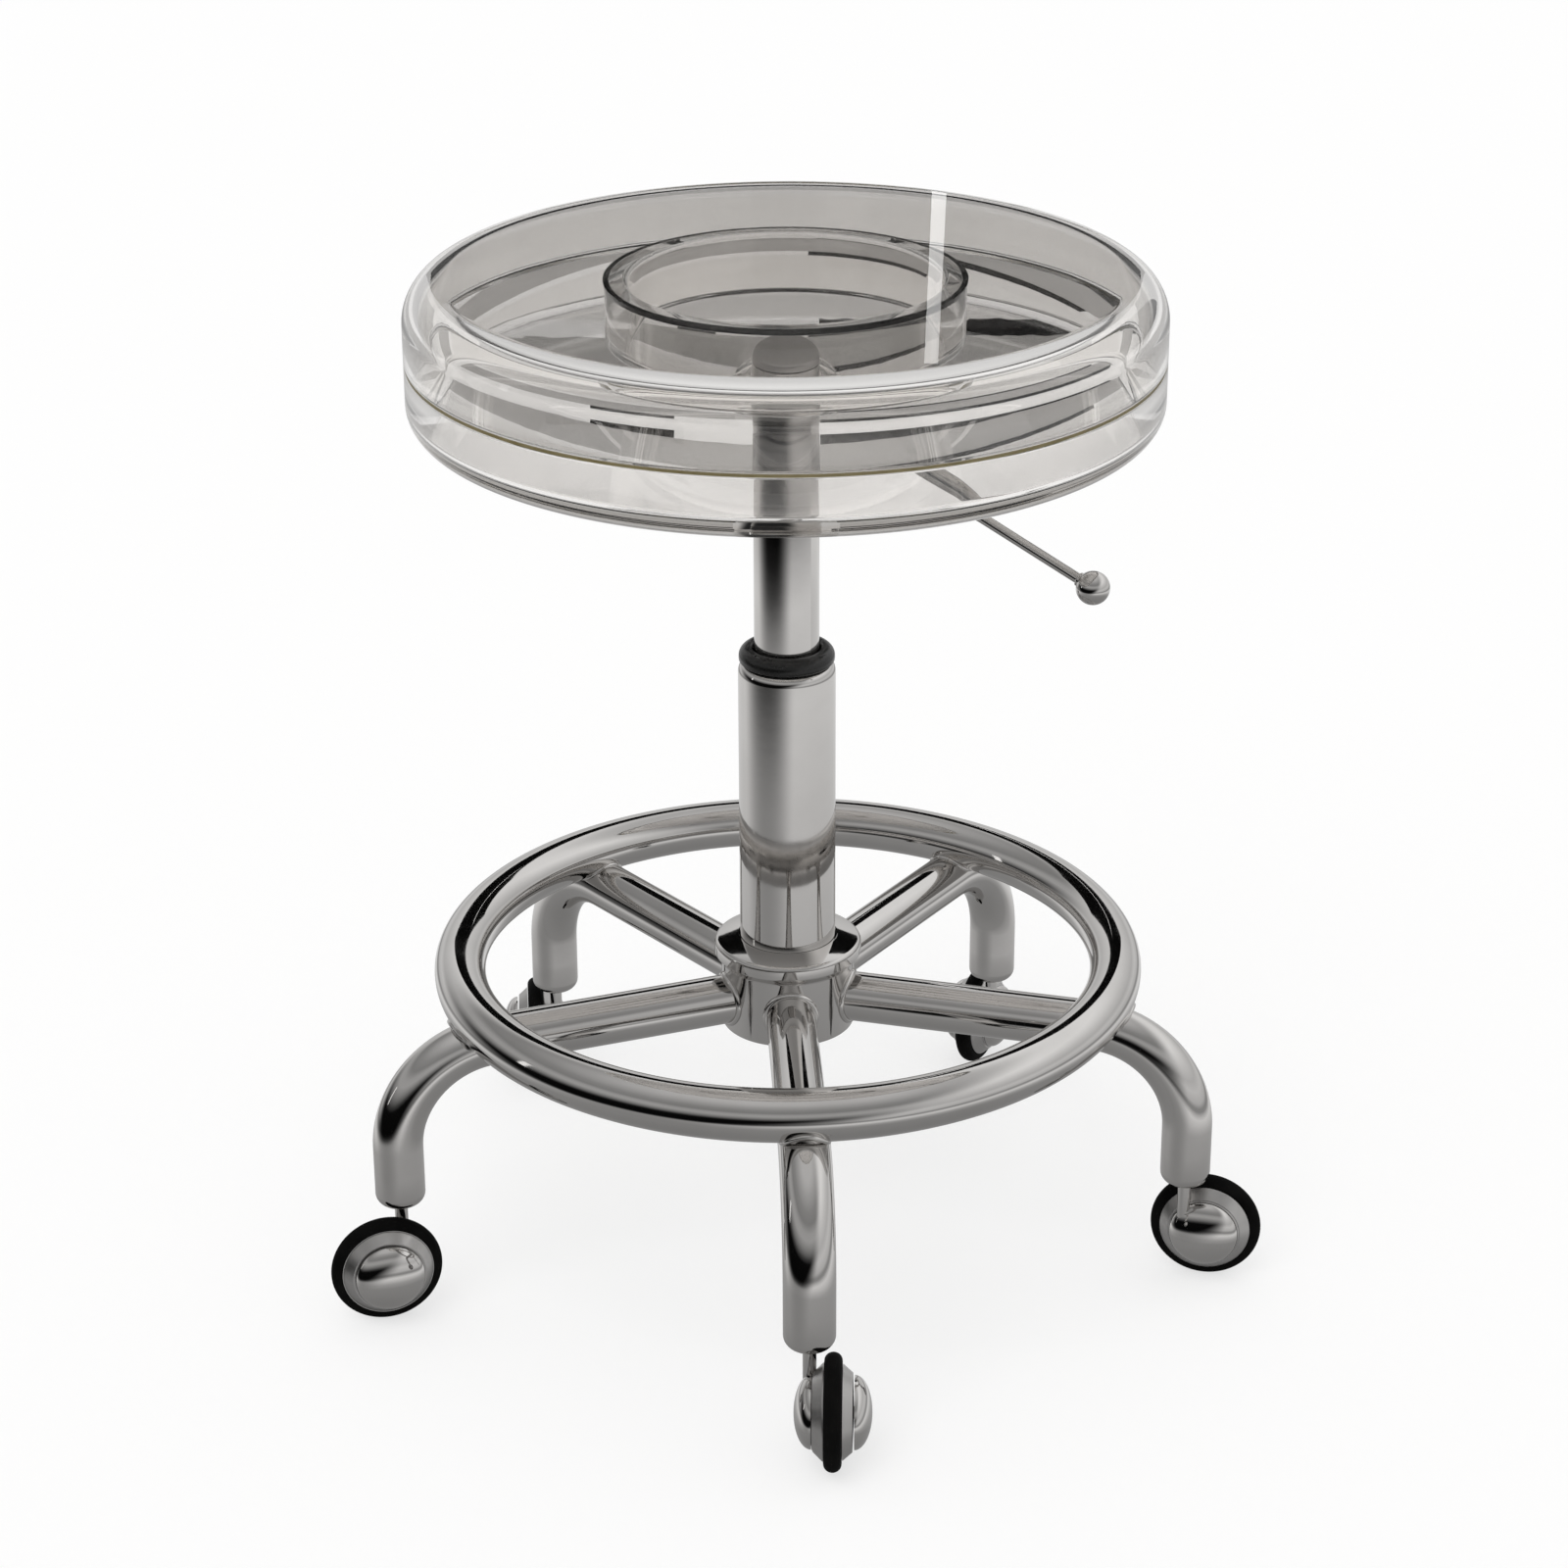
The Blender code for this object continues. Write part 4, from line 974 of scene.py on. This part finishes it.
# %% [markdown]
# The studio. A pale floor runs far past the picture, so that it is also the background, and it keeps the stool's
# shadow. Part of its white is its own, for every ray that looks at it, so that the shadow stays faint as in a
# catalogue picture.

# %% Floor
FLOOR_SIDE = 60
FLOOR_COLOUR = (0.94, 0.94, 0.94)
FLOOR_OWN_WHITE = 0.68


def stage_finish(name, colour, glow=0.0):
    finish, tree, shader = new_finish(name)
    mottle = noise(tree, 3, 2)
    tree.links.new(colours(tree, mottle, [(0.3, tuple(0.995 * c for c in colour)), (0.7, colour)]),
                   shader.inputs["Base Color"])
    shader.inputs["Roughness"].default_value = 0.9
    shader.inputs["Specular IOR Level"].default_value = 0.0
    shader.inputs["Emission Color"].default_value = (1, 1, 1, 1)
    shader.inputs["Emission Strength"].default_value = glow
    return finish


def looking(tree):
    """One for rays that look, straight or by way of a mirror or a clear piece, and nought for those that light."""
    path = tree.nodes.new("ShaderNodeLightPath")
    direct_or_mirror = maths(tree, "MAXIMUM", path.outputs["Is Camera Ray"], path.outputs["Is Glossy Ray"])
    return maths(tree, "MAXIMUM", direct_or_mirror, path.outputs["Is Transmission Ray"])


def own_white(finish, share):
    """Lets a floor shine with its own white, by that share, for rays that look at it."""
    tree = finish.node_tree
    part = maths(tree, "MULTIPLY", looking(tree), share)
    white = tree.nodes.new("ShaderNodeEmission")
    surface = swap(tree, part, tree.nodes["Principled BSDF"].outputs["BSDF"], white.outputs["Emission"])
    tree.links.new(surface, tree.nodes["Material Output"].inputs["Surface"])
    return finish


deselect()
bpy.ops.mesh.primitive_plane_add(size=FLOOR_SIDE, location=(0, 0, 0))
floor = bpy.context.object
floor.name = "studio_floor"
floor.data.materials.append(own_white(stage_finish("pale_floor", FLOOR_COLOUR), FLOOR_OWN_WHITE))
print("floor laid")

# %% [markdown]
# The sky lights the stool as a plain grey dome that is dimmer near the ground. A ray that looks at it sees white, so
# that a view from low down has a white background as well.

# %% Sky
DOME_LIGHT = [(0.0, (0.3, 0.298, 0.295)), (0.3, (0.4, 0.397, 0.393)), (0.5, (0.65, 0.646, 0.64)),
              (0.8, (1.0, 0.995, 0.99))]

sky = bpy.data.worlds.new("studio_dome")
bpy.context.scene.world = sky
sky.use_nodes = True
tree = sky.node_tree
where = tree.nodes.new("ShaderNodeTexCoord")
axes = tree.nodes.new("ShaderNodeSeparateXYZ")
tree.links.new(where.outputs["Generated"], axes.inputs["Vector"])
lit = tree.nodes["Background"]
tree.links.new(colours(tree, axes.outputs["Z"], DOME_LIGHT), lit.inputs["Color"])
white = tree.nodes.new("ShaderNodeBackground")
for ground in (lit, white):
    ground.inputs["Strength"].default_value = 1.0
white.inputs["Color"].default_value = (1, 1, 1, 1)
seen = swap(tree, looking(tree), lit.outputs["Background"], white.outputs["Background"])
tree.links.new(seen, tree.nodes["World Output"].inputs["Surface"])
print("sky set")

# %% [markdown]
# Chrome and clear plastic have no look of their own: they only show the room. So a room is built round the stool, which
# the camera and the light never meet. It is a great ball, lit by two ramps from straight down to straight up: one for
# the dark side, to the left of the camera, with a black band along the horizon, and one for the bright side across from
# it, with a soft change between them. Their levels were matched to the ring in the picture, which mirrors every
# direction once.

# %% Room light
CAMERA_SIDE = Vector((CAMERA_FROM_AXIS.x, CAMERA_FROM_AXIS.y, 0)).normalized()
BRIGHT_TURN = 130
SIDES_MEET = (-0.66, 0.0)
ROOM_GLOW = 1.2
DARK_SIDE = [(0.0, 0.26), (0.25, 0.23), (0.313, 0.29), (0.325, 0.2), (0.337, 0.07), (0.354, 0.015), (0.371, 0.003),
             (0.515, 0.004), (0.55, 0.06), (0.61, 0.26), (0.68, 0.46), (0.73, 0.44), (0.79, 0.28), (0.86, 0.33),
             (0.93, 0.47), (0.98, 0.62)]
BRIGHT_SIDE = [(0.0, 0.27), (0.2, 0.32), (0.26, 0.45), (0.3, 0.68), (0.335, 0.84), (0.36, 0.6), (0.38, 0.34),
               (0.4, 0.34), (0.43, 0.6), (0.5, 0.72), (0.57, 0.6), (0.67, 0.75), (0.79, 1.0), (0.88, 0.95),
               (0.95, 0.8)]


def side_of_camera(turn):
    """The level direction so many degrees to the right of the camera, as the stool sees it."""
    return Matrix.Rotation(math.radians(turn), 3, "Z") @ CAMERA_SIDE


def room_finish():
    finish, tree, shader = new_finish("room_light")
    where = tree.nodes.new("ShaderNodeTexCoord")
    towards = tree.nodes.new("ShaderNodeVectorMath")
    towards.operation = "NORMALIZE"
    tree.links.new(where.outputs["Object"], towards.inputs[0])
    axes = tree.nodes.new("ShaderNodeSeparateXYZ")
    tree.links.new(towards.outputs["Vector"], axes.inputs["Vector"])
    height = spread(tree, axes.outputs["Z"], 0.0, 1.0, -1.0, 1.0)
    facing = tree.nodes.new("ShaderNodeVectorMath")
    facing.operation = "DOT_PRODUCT"
    facing.inputs[1].default_value = side_of_camera(BRIGHT_TURN) - Vector((0, 0, 1))
    tree.links.new(towards.outputs["Vector"], facing.inputs[0])
    share = spread(tree, facing.outputs["Value"], 0.0, 1.0, *SIDES_MEET)
    share.node.interpolation_type = "SMOOTHSTEP"
    mix = tree.nodes.new("ShaderNodeMix")
    mix.data_type = "RGBA"
    tree.links.new(share, mix.inputs["Factor"])
    for side, socket in ((DARK_SIDE, mix.inputs[6]), (BRIGHT_SIDE, mix.inputs[7])):
        tree.links.new(colours(tree, height, [(at, (level / ROOM_GLOW,) * 3) for at, level in side]), socket)
    shader.inputs["Base Color"].default_value = (0, 0, 0, 1)
    shader.inputs["Specular IOR Level"].default_value = 0.0
    tree.links.new(mix.outputs[2], shader.inputs["Emission Color"])
    shader.inputs["Emission Strength"].default_value = ROOM_GLOW
    return finish


room_light = room_finish()
print("made", room_light.name)

# %% [markdown]
# The ball itself is only a carrier for that light. It is hidden from the camera and casts nothing, and the white floor
# is hidden from the chrome in return, because plated metal over a white floor would look chalky.

# %% Room
ROOM_R = 9.0
ROOM_MIDDLE_Z = 0.16
ROOM_MIDDLE = AXIS + Vector((0, 0, ROOM_MIDDLE_Z))


def only_shown_in(piece, glossy=True, transmission=True):
    """Keeps a stage piece out of the picture and out of the light, and says which rays meet it."""
    piece.visible_camera = False
    piece.visible_shadow = False
    piece.visible_diffuse = False
    piece.visible_glossy = glossy
    piece.visible_transmission = transmission


deselect()
bpy.ops.mesh.primitive_uv_sphere_add(segments=64, ring_count=32, radius=ROOM_R, location=ROOM_MIDDLE)
room = bpy.context.object
room.name = "room"
room.data.materials.append(room_light)
only_shown_in(room)
floor.visible_glossy = False
print("room lit")

# %% [markdown]
# A few boards finish the room, as black and white cards do in a studio. A black one stands behind the seat, where the
# flat faces of the drum would mirror the room and turn milky; a lit strip in front of it draws the bright streak across
# the seat, and a narrow window lights the left of the ring.
# The other cards are met only through clear pieces. The rugs give the drum its grey bands, and the black lines on the
# floor behind it are bent and repeated by the shells into the broken black lines of the picture.

# %% Boards
BLACK = (0.004, 0.004, 0.004)
DIM = (0.48, 0.475, 0.467)
GREY = (0.86, 0.852, 0.84)
PALE = (0.8, 0.8, 0.8)
RUG_Z = 0.002


def stage_card(name, size, where, turn, colour, glow=0.0):
    deselect()
    bpy.ops.mesh.primitive_plane_add(size=1)
    piece = bpy.context.object
    piece.name = name
    piece.scale = (*size, 1)
    piece.rotation_euler = turn
    piece.location = where
    piece.data.materials.append(stage_finish(name, colour, glow))
    return piece


def wall(name, turn, distance, low, high, width, colour, glow=0.0):
    """An upright board so many degrees to the right of the camera, as the stool sees it."""
    out = side_of_camera(turn)
    heading = math.atan2(out.y, out.x) + math.pi / 2
    where = AXIS + out * distance + Vector((0, 0, (low + high) / 2))
    return stage_card(name, (width, high - low), where, (math.pi / 2, 0, heading), colour, glow)


def rug(name, left, right, near, far, colour):
    """A card on the floor, placed by its edges to the right of the column and away from the camera."""
    away = -CAMERA_SIDE
    across = Vector((away.y, -away.x, 0))
    where = AXIS + across * (left + right) / 2 + away * (near + far) / 2 + Vector((0, 0, RUG_Z))
    return stage_card(name, (right - left, far - near), where, (0, 0, math.atan2(across.y, across.x)), colour)


only_shown_in(wall("black_board_back", 180, 1.0, 0.6, 1.04, 0.9, BLACK))
for card in (wall("far_strip", 173.0, 0.95, 0.64, 0.92, 0.011, PALE, 0.7),
             wall("left_window", -87, 4.0, 0.44, 1.38, 0.24, PALE, 0.6)):
    only_shown_in(card, transmission=False)
for card in (rug("dim_rug_left", -2.6, -0.75, -0.6, 3.0, DIM),
             rug("dim_rug_right", 0.7, 2.6, -0.6, 3.0, DIM),
             rug("grey_rug_back", -0.74, 0.69, 1.57, 3.4, GREY),
             rug("black_line_far", 0.03, 0.31, 1.52, 1.57, BLACK),
             rug("black_line_left", -0.18, -0.1, 1.22, 1.3, BLACK),
             rug("black_line_right", 0.03, 0.36, 1.22, 1.3, BLACK),
             rug("dim_strip_back", -0.74, 0.69, 1.3, 1.52, DIM),
             wall("black_board_right", 135, 2.7, 0.5, 3.0, 1.6, BLACK),
             wall("black_board_front_left", -50, 1.2, 0.0, 0.22, 0.95, BLACK)):
    only_shown_in(card, glossy=False)
print("boards set")

# %% [markdown]
# One soft lamp, high up and very wide, gives the faint shadow its direction. The chrome and the clear pieces do not
# mirror it, since it would be a great white disc in every one of them.

# %% Lamp
LAMP_STRENGTH = 0.9
LAMP_WIDTH = math.radians(40)
LAMP_TURN = (math.radians(28), math.radians(-20), 0)

lamp = bpy.data.lights.new("soft_key", "SUN")
lamp.energy = LAMP_STRENGTH
lamp.angle = LAMP_WIDTH
key = bpy.data.objects.new("soft_key", lamp)
key.rotation_euler = LAMP_TURN
bpy.context.scene.collection.objects.link(key)
key.visible_glossy = False
key.visible_transmission = False
print("lamp set")
